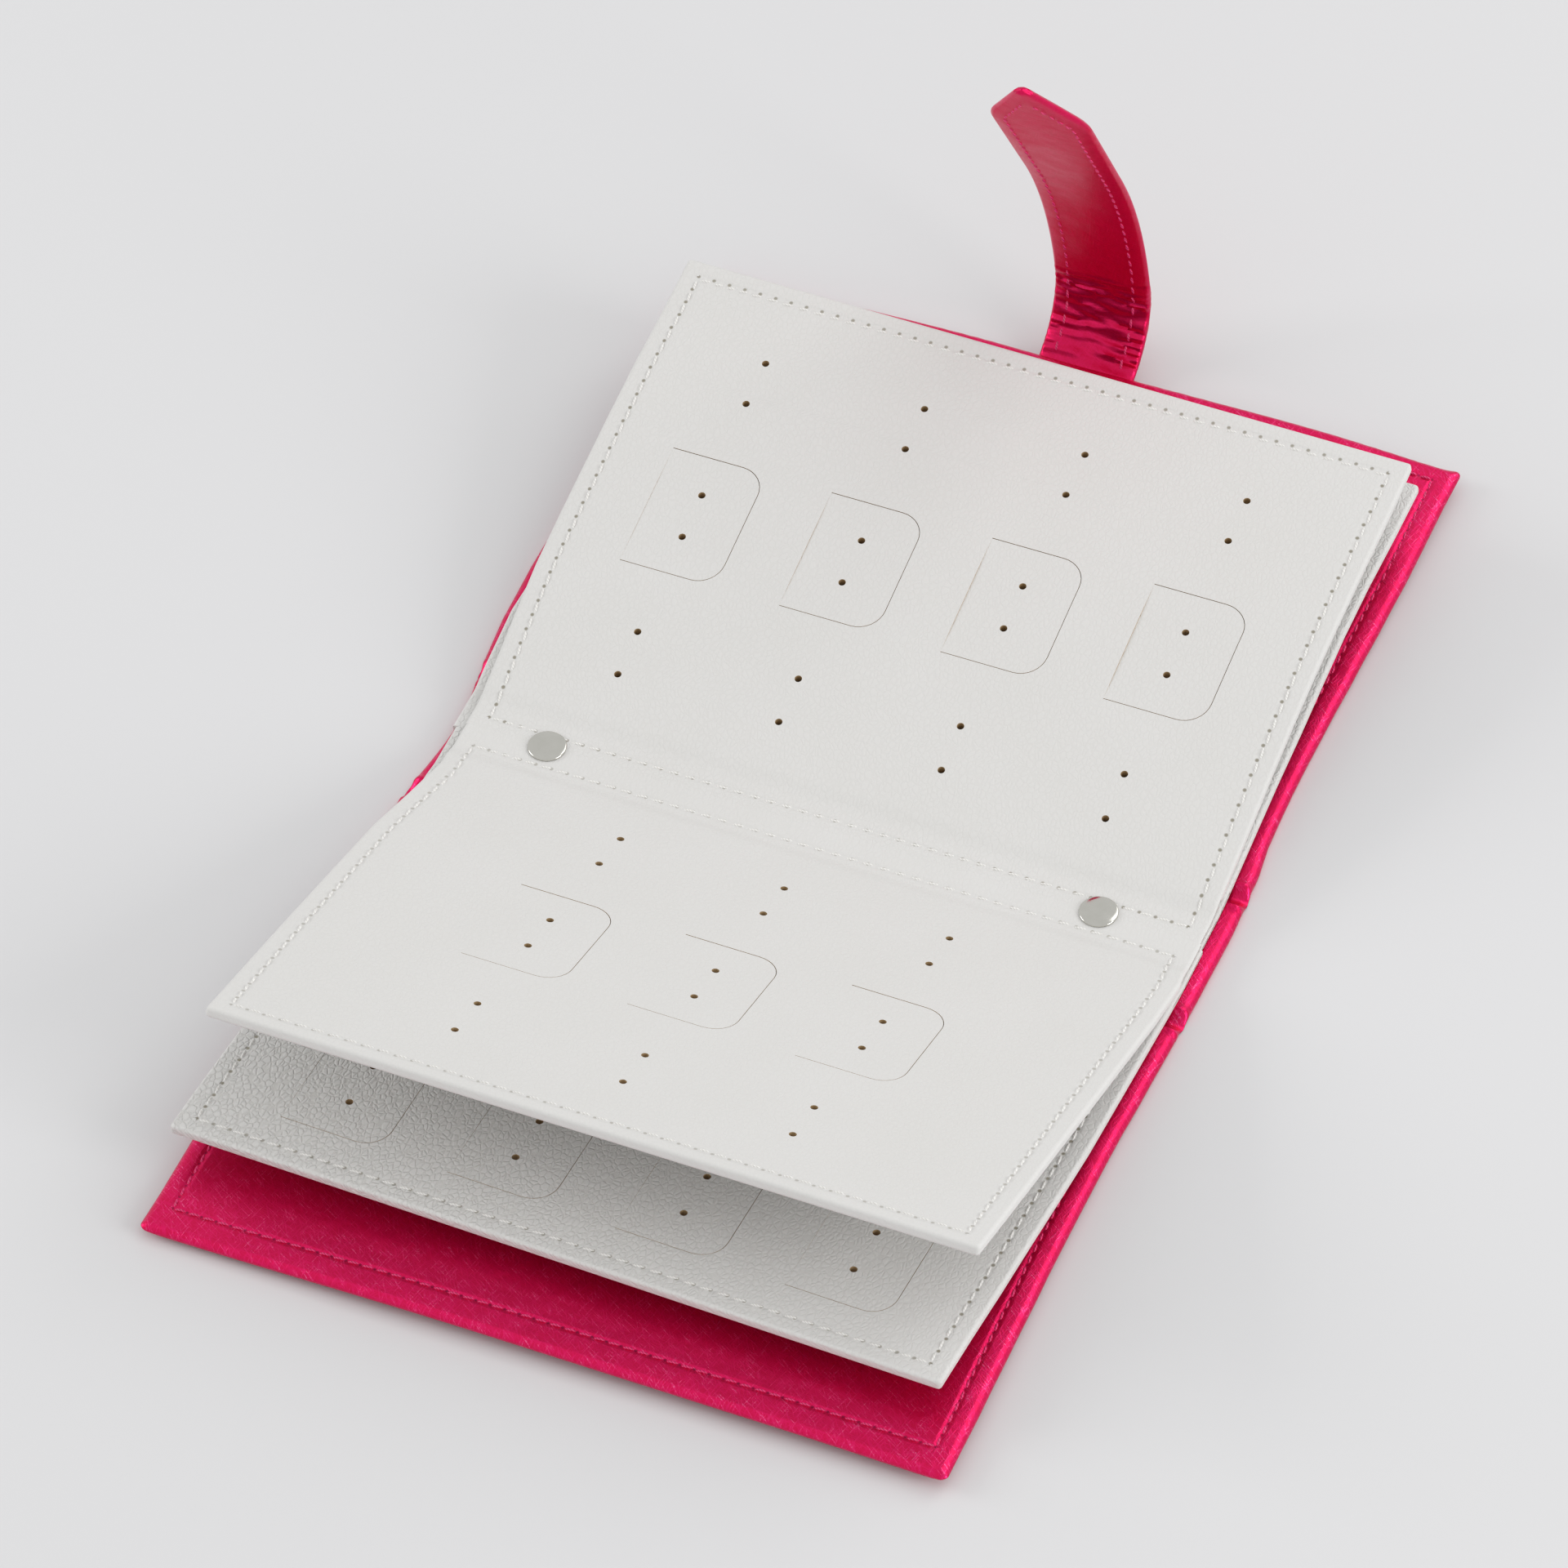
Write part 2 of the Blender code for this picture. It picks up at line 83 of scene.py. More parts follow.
# adds a node with its settings and links; a key is a setting of the node, or the name or number of an
# input, which gets a value or is linked to another node or one of its outputs
def addNode(tree, kind, values):
    node = tree.nodes.new("ShaderNode" + kind)
    for key, value in values.items():
        if isinstance(value, bpy.types.Node):
            value = value.outputs[0]
        if isinstance(value, bpy.types.NodeSocket):
            tree.links.new(value, node.inputs[key])
        elif isinstance(key, int) or key in node.inputs:
            node.inputs[key].default_value = value
        else:
            setattr(node, key, value)
    return node


def newMaterial(name):
    material = bpy.data.materials.new(name)
    material.use_nodes = True
    material.node_tree.nodes.clear()
    return material, material.node_tree


# the piece's own map in millimetres: the place, and how far across and along it is
def mapPlace(tree):
    flat = addNode(tree, "UVMap", {"uv_map": "flat"})
    place = addNode(tree, "VectorMath", {"operation": "SCALE", 0: flat, "Scale": 1 / (mapScale * mm)})
    split = addNode(tree, "SeparateXYZ", {0: place})
    return place, split.outputs[0], split.outputs[1]


def smooth(t):
    t = min(max(t, 0.0), 1.0)
    return t * t * (3 - 2 * t)


# the value at a share of the way along a row of values
def between(values, share):
    place = min(max(share, 0), 1) * (len(values) - 1)
    n = min(int(place), len(values) - 2)
    return values[n] + (values[n + 1] - values[n]) * smooth(place - n)


# modelling helpers
def setMode(mode):
    bpy.ops.object.mode_set(mode=mode)


def deselectAll():
    bpy.ops.object.select_all(action="DESELECT")


def pick(piece):
    if bpy.context.object and bpy.context.object.mode != "OBJECT":
        setMode("OBJECT")
    deselectAll()
    piece.select_set(True)
    bpy.context.view_layer.objects.active = piece
    return piece


# names the shape just added, and applies its place, turn and size
def takeShape(name):
    bpy.ops.object.transform_apply(location=True, rotation=True, scale=True)
    piece = bpy.context.active_object
    piece.name = name
    return piece


def addBlock(name, low, high):
    deselectAll()
    bpy.ops.mesh.primitive_cube_add(size=1, location=[(a + b) / 2 for a, b in zip(low, high)])
    bpy.context.active_object.scale = [b - a for a, b in zip(low, high)]
    return takeShape(name)


def clearSelection(piece, kind):
    pick(piece)
    setMode("EDIT")
    bpy.ops.mesh.select_mode(type=kind)
    bpy.ops.mesh.select_all(action="DESELECT")
    setMode("OBJECT")


# selects faces, and leaves the piece in edit mode
def selectFaces(piece, wanted):
    clearSelection(piece, "FACE")
    for face in piece.data.polygons:
        face.select = wanted(face.center, face.normal)
    setMode("EDIT")


def bevelEdges(piece, wanted, width, segments):
    clearSelection(piece, "EDGE")
    points = piece.data.vertices
    for edge in piece.data.edges:
        edge.select = wanted(points[edge.vertices[0]].co, points[edge.vertices[1]].co)
    setMode("EDIT")
    bpy.ops.mesh.bevel(offset=width, segments=segments, profile=0.5, affect="EDGES", clamp_overlap=False)
    setMode("OBJECT")


# whether both ends of an edge lie at one place along an axis
def bothAt(a, b, axis, place):
    return abs(a[axis] - place) < tiny and abs(b[axis] - place) < tiny


# rounds the upright edges at one end of a flat block
def bevelCorners(piece, axis, place, width, segments):
    bevelEdges(piece, lambda a, b: bothAt(a, b, axis, place) and abs(a.z - b.z) > mm, width, segments)


# rounds the rims of a flat block, each (height, width, segments), apart from its open ends
def bevelRims(piece, rims, axis, openEnds):
    for height, width, segments in rims:
        bevelEdges(piece, lambda a, b: bothAt(a, b, 2, height)
                   and not any(bothAt(a, b, axis, place) for place in openEnds), width, segments)


def cutLines(piece, axis, places):
    pick(piece)
    setMode("EDIT")
    for place in places:
        point, normal = [0, 0, 0], [0, 0, 0]
        point[axis], normal[axis] = place, 1
        bpy.ops.mesh.select_all(action="SELECT")
        bpy.ops.mesh.bisect(plane_co=point, plane_no=normal, threshold=tiny)
    setMode("OBJECT")


def steps(start, end, step):
    count = max(1, round(abs(end - start) / step))
    return [start + (end - start) * n / count for n in range(1, count)]


# gives the selected faces the second material, and leaves edit mode
def paintSelected(piece):
    piece.active_material_index = 1
    bpy.ops.object.material_slot_assign()
    setMode("OBJECT")


def joinPieces(name, parts):
    pick(parts[0])
    for part in parts[1:]:
        part.select_set(True)
    bpy.ops.object.join()
    joined = bpy.context.active_object
    joined.name = name
    return joined


def cutAway(piece, tool):
    cut = piece.modifiers.new("cut", "BOOLEAN")
    cut.operation = "DIFFERENCE"
    cut.solver = "EXACT"
    cut.material_mode = "TRANSFER"
    cut.object = tool
    pick(piece)
    bpy.ops.object.modifier_apply(modifier=cut.name)
    bpy.data.objects.remove(tool, do_unlink=True)


# fills the piece's own map from its flat shape: across the leather, and along it towards the side that
# the piece lies on; walls lean a little
def drawMap(piece, side=1):
    mesh = piece.data
    while mesh.uv_layers:
        mesh.uv_layers.remove(mesh.uv_layers[0])
    layer = mesh.uv_layers.new(name="flat")
    for face in mesh.polygons:
        lean = 0.0 if abs(face.normal.z) > 0.35 else 1.0
        for corner in face.loop_indices:
            x, y, z = mesh.vertices[mesh.loops[corner].vertex_index].co
            layer.data[corner].uv = ((x + lean * z) * mapScale, side * (y + lean * z) * mapScale)


def movePoints(piece, place):
    for point in piece.data.vertices:
        point.co = place(point.co)
    piece.data.update()


def smoothPiece(piece, angle=35, weighted=True):
    pick(piece)
    bpy.ops.object.shade_smooth_by_angle(angle=math.radians(angle))
    if weighted:
        even = piece.modifiers.new("even", "WEIGHTED_NORMAL")
        even.keep_sharp = True
        even.weight = 60
        bpy.ops.object.modifier_apply(modifier=even.name)


def setMaterials(piece, *materials):
    while len(piece.data.materials) < len(materials):
        piece.data.materials.append(None)
    for n, material in enumerate(materials):
        piece.data.materials[n] = material


# sewing: one stitch is modelled, and copies of it follow each row
stitchSet = {"sides": 6, "radius": 0.34 * mm, "gap": 0.8 * mm, "dive": 0.34 * mm, "slant": 7,
             "lift": 0.02 * mm}


def modelStitch(length):
    deselectAll()
    bpy.ops.mesh.primitive_cylinder_add(vertices=stitchSet["sides"], radius=stitchSet["radius"],
                                        depth=length, rotation=(0, math.pi / 2, 0))
    stitch = takeShape("stitch")
    half = length / 2
    cutLines(stitch, 0, [-half * 0.7, -half * 0.3, half * 0.3, half * 0.7])
    for point in stitch.data.vertices:  # thinner towards its ends, where it goes down through the leather
        t = abs(point.co.x) / half
        point.co.y *= 1 - 0.55 * t ** 3
        point.co.z = point.co.z * (1 - 0.55 * t ** 3) - stitchSet["dive"] * t ** 2.5
    pick(stitch)
    bpy.ops.object.shade_smooth()
    return stitch


# rows are (start, end, count) in flat places; each stitch lies on the row at a small slant
def sewRows(name, rows, material):
    made = []
    for start, end, count in rows:
        start, end = Vector(start), Vector(end)
        pitch = (end - start).length / count
        pattern = modelStitch(pitch - stitchSet["gap"])
        turn = math.atan2(end.y - start.y, end.x - start.x) + math.radians(stitchSet["slant"])
        flip = Matrix.Rotation(math.pi, 4, "X") if start.z < 0 else Matrix.Identity(4)
        for n in range(count):
            copy = pattern.copy()
            copy.data = pattern.data.copy()
            middle = start.lerp(end, (n + 0.5) / count)
            copy.data.transform(Matrix.Translation(middle) @ Matrix.Rotation(turn, 4, "Z") @ flip)
            bpy.context.scene.collection.objects.link(copy)
            made.append(copy)
        bpy.data.objects.remove(pattern, do_unlink=True)
    sewn = joinPieces(name, made)
    setMaterials(sewn, material)
    return sewn


# distances to sewn rows, read from the piece's own map in millimetres: a rectangle of rows with needle holes
# at every pitch.
# Gives the mask of the needle holes' painted shade, 1 in a hole, and the dip of the leather, 1 on the row.
def stitchMarks(tree, across, along, rows, holeShadeStrengths):
    side, low, high = rows["side"], rows["low"], rows["high"]
    away, past, step = [], [], []
    for value, middle, half, count in ((across, 0.0, side, rows["acrossCount"]),
                                       (along, (low + high) / 2, (high - low) / 2, rows["alongCount"])):
        off = addNode(tree, "Math", {"operation": "SUBTRACT", 0: value, 1: middle})
        out = addNode(tree, "Math", {"operation": "ABSOLUTE", 0: off})
        over = addNode(tree, "Math", {"operation": "SUBTRACT", 0: out, 1: half})
        away.append(addNode(tree, "Math", {"operation": "ABSOLUTE", 0: over}))
        beyond = addNode(tree, "Math", {"operation": "MAXIMUM", 0: over, 1: 0.0})
        past.append(addNode(tree, "Math", {"operation": "MULTIPLY", 0: beyond, 1: rows["pastRow"]}))
        begun = addNode(tree, "Math", {"operation": "SUBTRACT", 0: value, 1: middle - half})
        step.append(addNode(tree, "Math", {"operation": "PINGPONG", 0: begun, 1: half / count}))
    holeShadeMasks, near = [], []
    for strength, (a, b) in zip(holeShadeStrengths, ((0, 1), (1, 0))):  # the side rows, then the end rows
        hole = addNode(tree, "CombineXYZ", {0: away[a], 1: step[b], 2: past[b]})
        length = addNode(tree, "VectorMath", {"operation": "LENGTH", 0: hole}).outputs["Value"]
        holeShadeMasks.append(addNode(tree, "MapRange", {0: length, 1: rows["needleIn"], 2: rows["needleOut"],
                                                3: strength, 4: 0.0}))
        near.append(addNode(tree, "Math", {"operation": "ADD", 0: away[a], 1: past[b]}))
    holes = addNode(tree, "Math", {"operation": "MAXIMUM", 0: holeShadeMasks[0], 1: holeShadeMasks[1]})
    onRow = addNode(tree, "Math", {"operation": "MINIMUM", 0: near[0], 1: near[1]})
    dip = addNode(tree, "MapRange", {"interpolation_type": "SMOOTHSTEP", 0: onRow, 1: 0.0,
                                     2: rows["dipWidth"], 3: 1.0, 4: 0.0})
    return holes, dip


# materials
pageRows = {"side": 92.0, "low": -2.4, "high": 132.0, "acrossCount": 44, "alongCount": 32,
            "needleIn": 0.32, "needleOut": 0.62, "pastRow": 8.0, "dipWidth": 1.2}
caseRows = {"side": 94.6, "low": -161.4, "high": 163.2, "acrossCount": 52, "alongCount": 90,
            "needleIn": 0.22, "needleOut": 0.48, "pastRow": 8.0, "dipWidth": 1.2}

# the needle colour is painted shade inside the needle holes
# the valley colour is painted shade, darkening the valleys between the pebbles
pageFinish = {
    "colour": "dddcda", "shade": "d9d8d5", "valleyShade": "bfbdb6", "needle": "8a8474", "roughness": (0.44, 0.58),
    "specular": 0.35, "grain": 1.05, "grainLong": 0.70, "grainDepth": 0.18 * mm, "creaseDepth": 0.20 * mm,
    "grainFrom": -60.0, "grainTo": 90.0, "wander": (0.9, 0.25), "pebbleRound": 0.22, "valleyWidth": 0.14,
    "valleyShadeShare": 0.28, "pores": 3.2, "poreShare": 0.12, "cloud": 0.035,
}


# polyurethane leather, embossed: off-white and matt, with pebbles of about 1.3 by 2 mm that show where light
# grazes it, painted shade in the valleys between them, needle holes drawn as painted shade, and a dip along
# each sewn row; grain is the pebbles' depth and the strength of their painted valley shade, at the left and
# the right
def makePageLeather(page, holeShadeStrengths, grain):
    s = pageFinish
    material, tree = newMaterial("embossed_white_leather_" + page)
    place, across, along = mapPlace(tree)
    holes, dip = stitchMarks(tree, across, along, pageRows, holeShadeStrengths)
    scale, share = s["wander"]
    wander = addNode(tree, "TexNoise", {"Vector": place, "Scale": scale, "Detail": 2.0})
    bent = addNode(tree, "Mix", {"data_type": "VECTOR", 0: share, 4: place, 5: wander.outputs["Color"]})
    drawn = addNode(tree, "VectorMath", {"operation": "MULTIPLY", 0: bent.outputs[1],
                                         1: (1, s["grainLong"], 1)})
    depthAndShade = addNode(tree, "MapRange", {0: across, 1: s["grainFrom"], 2: s["grainTo"],
                                      3: grain[0], 4: grain[1]})
    pebbles = addNode(tree, "TexVoronoi", {"feature": "DISTANCE_TO_EDGE", "Vector": drawn,
                                           "Scale": s["grain"], "Randomness": 1.0}).outputs["Distance"]
    rounded = addNode(tree, "MapRange", {"interpolation_type": "SMOOTHSTEP", 0: pebbles, 1: 0.0,
                                         2: s["pebbleRound"], 3: 0.0, 4: 1.0})
    pores = addNode(tree, "TexNoise", {"Vector": place, "Scale": s["pores"], "Detail": 3.0})
    cloud = addNode(tree, "TexNoise", {"Vector": place, "Scale": s["cloud"], "Detail": 3.0})
    shade = addNode(tree, "Mix", {"data_type": "RGBA", 0: cloud, 6: linear(s["shade"]),
                                  7: linear(s["colour"])})
    # painted shade in the valleys between the pebbles, as strong as the grain is deep
    valleyShade = addNode(tree, "MapRange", {0: pebbles, 1: 0.0, 2: s["valleyWidth"], 3: s["valleyShadeShare"], 4: 0.0})
    valleyShadeMask = addNode(tree, "Math", {"operation": "MULTIPLY", 0: valleyShade, 1: depthAndShade})
    withValleyShade = addNode(tree, "Mix", {"data_type": "RGBA", 0: valleyShadeMask, 6: shade.outputs[2],
                                   7: linear(s["valleyShade"])})
    # painted shade in the needle holes, which are not modelled
    withHoleShade = addNode(tree, "Mix", {"data_type": "RGBA", 0: holes, 6: withValleyShade.outputs[2],
                                    7: linear(s["needle"])})
    least, most = s["roughness"]
    rough = addNode(tree, "MapRange", {0: pores, 1: 0.3, 2: 0.7, 3: least, 4: most})
    height = addNode(tree, "Math", {"operation": "MULTIPLY_ADD", 0: pores, 1: s["poreShare"], 2: rounded})
    grainBump = addNode(tree, "Bump", {"Height": height, "Strength": depthAndShade, "Distance": s["grainDepth"]})
    rowBump = addNode(tree, "Bump", {"Height": dip, "Strength": 0.8, "Distance": s["creaseDepth"],
                                     "Normal": grainBump, "invert": True})
    shader = addNode(tree, "BsdfPrincipled", {"Base Color": withHoleShade.outputs[2], "Roughness": rough,
                                              "Specular IOR Level": s["specular"], "Normal": rowBump})
    addNode(tree, "OutputMaterial", {0: shader})
    return material


# plain materials on object coordinates: two shades mixed by a pattern, which is also a small relief
def makePlain(name, pattern, light, dark, bump, values):
    material, tree = newMaterial(name)
    place = addNode(tree, "TexCoord", {}).outputs["Object"]
    spots = addNode(tree, pattern[0], {"Vector": place, **pattern[1]}).outputs["Fac"]
    colour = addNode(tree, "Mix", {"data_type": "RGBA", 0: spots, 6: linear(dark), 7: linear(light)})
    values = {"Base Color": colour.outputs[2], **values}
    if bump:
        values["Normal"] = addNode(tree, "Bump", {"Height": spots, "Strength": bump[0], "Distance": bump[1]})
    if isinstance(values["Roughness"], tuple):
        least, most = values["Roughness"]
        values["Roughness"] = addNode(tree, "MapRange", {0: spots, 1: 0.3, 2: 0.7, 3: least, 4: most})
    shader = addNode(tree, "BsdfPrincipled", values)
    addNode(tree, "OutputMaterial", {0: shader})
    return material


# spark is the colour of painted glints
# the needle colour is painted shade inside the needle holes
foilFinish = {
    "colour": "f81e7a", "dark": "d8064c", "paintedGlint": "ff9cc8", "needle": "7a0a36", "holeShadeStrengths": (0.55, 0.7),
    "metallic": 0.78, "roughness": (0.33, 0.23), "coat": 0.06, "coatRoughness": 0.22,
    "brushTurns": ((31, 1.0), (-76, 0.9), (58, 0.8), (8, 0.6), (-38, 0.5)), "brushLength": 0.22,
    "brushWidth": 2.7, "brushLine": (0.53, 0.66), "patches": (0.22, 0.36, 0.60, 0.70),
    "scratchTurns": (36, 27), "scratchLength": 0.012, "scratchWidth": 0.30, "scratchLine": 0.005,
    "rare": (0.045, 0.54, 0.68, 0.9), "glints": (2.2, 0.48, 0.62, 0.08), "shine": (0.35, 0.90),
    "swell": 0.09, "swellDepth": 1.0 * mm, "brushDepth": 0.10 * mm, "creaseDepth": 0.30 * mm,
}


# polyurethane leather with a transferred metal foil, brushed: hot pink with a metallic glow, streaks that
# cross, a few long bright scratches, and painted glints, light pink specks where the streaks are strongest;
# the real brushing is about 0.1 mm wide, and is drawn at 0.4 mm
def makeFoil(name, rows, strength):
    s = foilFinish
    material, tree = newMaterial(name)
    place, across, along = mapPlace(tree)

    def streaks(turn, offset, length, width, detail):
        turned = addNode(tree, "Mapping", {"Vector": place, "Rotation": (0, 0, math.radians(turn)),
                                           "Location": (offset * 37, offset, offset)})
        stretched = addNode(tree, "VectorMath", {"operation": "MULTIPLY", 0: turned, 1: (length, width, 1)})
        return addNode(tree, "TexNoise", {"Vector": stretched, "Scale": 1.0, "Detail": detail})

    crossed, scratched = 0.0, 0.0
    low, high = s["brushLine"]
    for n, (turn, share) in enumerate(s["brushTurns"]):
        streak = streaks(turn, n, s["brushLength"], s["brushWidth"], 1.0)
        line = addNode(tree, "MapRange", {0: streak, 1: low, 2: high, 3: 0.0, 4: share})
        crossed = addNode(tree, "Math", {"operation": "MAXIMUM", 0: crossed, 1: line})
    for n, turn in enumerate(s["scratchTurns"]):
        streak = streaks(turn, n + 5, s["scratchLength"], s["scratchWidth"], 0.0)
        ridge = addNode(tree, "Math", {"operation": "SUBTRACT", 0: streak, 1: 0.5})
        away = addNode(tree, "Math", {"operation": "ABSOLUTE", 0: ridge})
        line = addNode(tree, "MapRange", {0: away, 1: 0.0, 2: s["scratchLine"], 3: 1.0, 4: 0.0})
        scratched = addNode(tree, "Math", {"operation": "MAXIMUM", 0: scratched, 1: line})
    scale, low, high, most = s["rare"]
    spots = addNode(tree, "TexNoise", {"Vector": place, "Scale": scale, "Detail": 1.0})
    rare = addNode(tree, "MapRange", {0: spots, 1: low, 2: high, 3: 0.0, 4: most * strength})
    scratch = addNode(tree, "Math", {"operation": "MULTIPLY", 0: scratched, 1: rare})
    scale, low, high, least = s["patches"]
    patches = addNode(tree, "TexNoise", {"Vector": place, "Scale": scale, "Detail": 3.0})
    lit = addNode(tree, "MapRange", {0: patches, 1: low, 2: high, 3: least * strength, 4: strength})
    brushed = addNode(tree, "Math", {"operation": "MULTIPLY", 0: crossed, 1: lit})
    fine = addNode(tree, "Math", {"operation": "MAXIMUM", 0: brushed, 1: scratch})
    scale, low, high, least = s["glints"]
    specks = addNode(tree, "TexNoise", {"Vector": place, "Scale": scale, "Detail": 1.0})
    glint = addNode(tree, "MapRange", {0: specks, 1: low, 2: high, 3: least, 4: 1.0})
    low, high = s["shine"]
    shine = addNode(tree, "MapRange", {0: fine, 1: low, 2: high, 3: 0.0, 4: 1.0})
    bright = addNode(tree, "Math", {"operation": "MULTIPLY", 0: shine, 1: glint})
    ground = addNode(tree, "Mix", {"data_type": "RGBA", 0: fine, 6: linear(s["dark"]),
                                   7: linear(s["colour"])})
    # painted glints: specks of light pink where the streaks and scratches are strongest
    colour = addNode(tree, "Mix", {"data_type": "RGBA", 0: bright, 6: ground.outputs[2],
                                   7: linear(s["paintedGlint"])}).outputs[2]
    swell = addNode(tree, "TexNoise", {"Vector": place, "Scale": s["swell"], "Detail": 2.0})
    normal = addNode(tree, "Bump", {"Height": fine, "Strength": 0.5, "Distance": s["brushDepth"]})
    normal = addNode(tree, "Bump", {"Height": swell, "Strength": 0.35, "Distance": s["swellDepth"],
                                    "Normal": normal})
    if rows:
        holes, dip = stitchMarks(tree, across, along, rows, s["holeShadeStrengths"])
        normal = addNode(tree, "Bump", {"Height": dip, "Strength": 0.6, "Distance": s["creaseDepth"],
                                        "Normal": normal, "invert": True})
        # painted shade in the needle holes of the sewn rows
        colour = addNode(tree, "Mix", {"data_type": "RGBA", 0: holes, 6: colour,
                                       7: linear(s["needle"])}).outputs[2]
    least, most = s["roughness"]
    rough = addNode(tree, "MapRange", {0: fine, 1: 0.0, 2: 1.0, 3: least, 4: most})
    shader = addNode(tree, "BsdfPrincipled", {
        "Base Color": colour, "Normal": normal, "Roughness": rough, "Metallic": s["metallic"],
        "Coat Weight": s["coat"], "Coat Roughness": s["coatRoughness"]})
    addNode(tree, "OutputMaterial", {0: shader})
    return material


# bonded leather board, die-cut: tan and fibrous on the walls of the holes and slits
rawCore = makePlain("cut_tan_board", ("TexNoise", {"Scale": 1800.0, "Detail": 3.0}), "c9b08a", "927650",
                    (0.4, 0.1 * mm), {"Roughness": 0.9, "Specular IOR Level": 0.2})
# bonded polyester sewing thread, twisted: fine strands with a soft sheen on the white one
strands = ("TexWave", {"Scale": 700.0, "Distortion": 1.5, "bands_direction": "DIAGONAL"})
whiteThread = makePlain("white_polyester_thread", strands, "f2f1ee", "dbd9d4", (0.5, 0.08 * mm),
                        {"Roughness": 0.45, "Sheen Weight": 0.2})
# the light strands of the pink thread are a painted highlight of its twist, and the dark ones painted shade
pinkThread = makePlain("pink_polyester_thread", strands, "ee3a7c", "b41450", (0.5, 0.08 * mm),
                       {"Roughness": 0.45})
caseFoil = makeFoil("brushed_pink_foil_leather", caseRows, 0.55)
strapFoil = makeFoil("strap_pink_foil_leather", None, 0.3)
# brass turned and nickel plated, polished to a mirror, with faint wiping marks
nickel = makePlain("polished_nickel_plate", ("TexNoise", {"Scale": 350.0, "Detail": 2.0}), "d0cec7", "c6c4bc",
                   None, {"Roughness": (0.07, 0.14), "Metallic": 1.0})
# hidden parts: grey bookbinding board, pressed from mixed fibre, and zinc-plated steel
greyBoard = makePlain("pressed_grey_board", ("TexNoise", {"Scale": 900.0, "Detail": 4.0}), "a39d90", "857f73",
                      (0.3, 0.1 * mm), {"Roughness": 0.9})
zincSteel = makePlain("zinc_plated_steel", ("TexNoise", {"Scale": 400.0, "Detail": 4.0}), "b4b7ba", "9c9fa3",
                      (0.3, 0.1 * mm), {"Roughness": 0.35, "Metallic": 1.0})
print("materials made")


# pages
# each half of a sheet is one leather piece, from the gutter's middle over its fold to the free edge
pageSize = {
    **lengths(
        half=96.7, end=136.5, low=-2.2, rise=0.6, stripLow=-1.9, foldFrom=-3.0, foldTo=6.0, thinTo=5.0,
        cornerRound=1.0, topRound=0.95, lowRound=0.7, holeRadius=0.92, columnPitch=42.2, rowPitch=41.0,
        firstRow=24.3, pairHalf=6.3, flapLeft=12.2, flapRight=13.0, flapHalf=17.0, flapRound=6.5, slit=0.13,
        flapRim=0.12, flapCut=0.7, flapBend=4.0, bowEnd=133.0, sewnSide=92.0, sewnEnd=132.0, cutFrom=72.0,
        cutReach=20.0, seamFrom=-7.0, seamReach=4.0, seamTo=9.0, farFrom=118.0, farReach=18.0,
        foldCutFrom=-6.0, foldCutTo=10.0, foldCut=1.0, flatCut=15.0, lastCut=2.0, windowReach=6.0,
        drillReach=5.0, partTo=7.0, partLow=-1.6, partRim=0.12, partDepth=1.4,
    ),
    "holeSides": 18,
}
# margins as cut, in mm: left and right at even steps from the gutter to the free edge, the free edge,
# what the hem outside the sewn row has more at the left, right and free edge, and the gutter's row; then
# how a page lies askew (shifts sideways and outwards, each fixed and per length, and their ramp in mm),
# and its bow (the height, and what it grows per length)
plainPage = {"flapRow": None, "far": 0.0, "hem": (0.0, 0.0, 0.0), "seamRow": 0.0,
             "askew": (0.0, 0.0, 0.0, 0.0, 20), "stretch": 0.0, "bow": (0.0, 0.0)}
# each page's grain sets the pebbles' depth and the strength of the painted shade in their valleys, at the
# left and then the right
# each page's needle-hole strengths set how dark the painted shade of its needle holes is, on the side rows
# and then the end rows
pageSet = {
    "upper1": {**plainPage, "hinge": 7 * mm, "high": 7.1 * mm, "side": 1, "tilt": 11.5, "columns": 4,
               "flapRow": 1, "left": (3.8, 1.9, 2.1, 3.2), "right": (0.9, 0.7, 0.8, 1.2), "far": -1.7,
               "hem": (0.0, -0.6, 1.1), "seamRow": -0.9, "bow": (1.8, 0.0145),
               "holeShadeStrengths": (0.9, 0.8), "grain": (0.30, 0.25)},
    "lower1": {**plainPage, "hinge": 7 * mm, "high": 7.1 * mm, "side": -1, "tilt": 17.2, "columns": 3,
               "flapRow": 1, "left": (4.0, 0.9, 0.8, 1.0), "right": (0.6, 0.3, 0.1, -0.2), "far": -3.4,
               "seamRow": 1.5, "askew": (1.8, -0.0135, 1.8, 0.0, 15),
               "holeShadeStrengths": (0.5, 0.5), "grain": (0.20, 0.15)},
    "upper2": {**plainPage, "hinge": 12 * mm, "high": 4.9 * mm, "side": 1, "tilt": 6.5, "columns": 4,
               "left": (0.4, -0.65, 0.8, 1.1, 2.0, 1.5, 1.4), "right": (0.5, -0.3, -0.9, 0.4), "far": -1.0,
               "holeShadeStrengths": (0.8, 0.5), "grain": (0.6, 0.6)},
    "lower2": {**plainPage, "hinge": 12 * mm, "high": 4.9 * mm, "side": -1, "tilt": 4.0, "columns": 4,
               "flapRow": 2, "left": (1.2, 0.7, 0.0, -0.8), "right": (1.0, 0.2, -0.7, -1.5),
               "askew": (0.7, -0.030, 1.0, 0.022, 110), "stretch": 0.012,
               "holeShadeStrengths": (0.9, 0.7), "grain": (0.9, 0.35)},
}


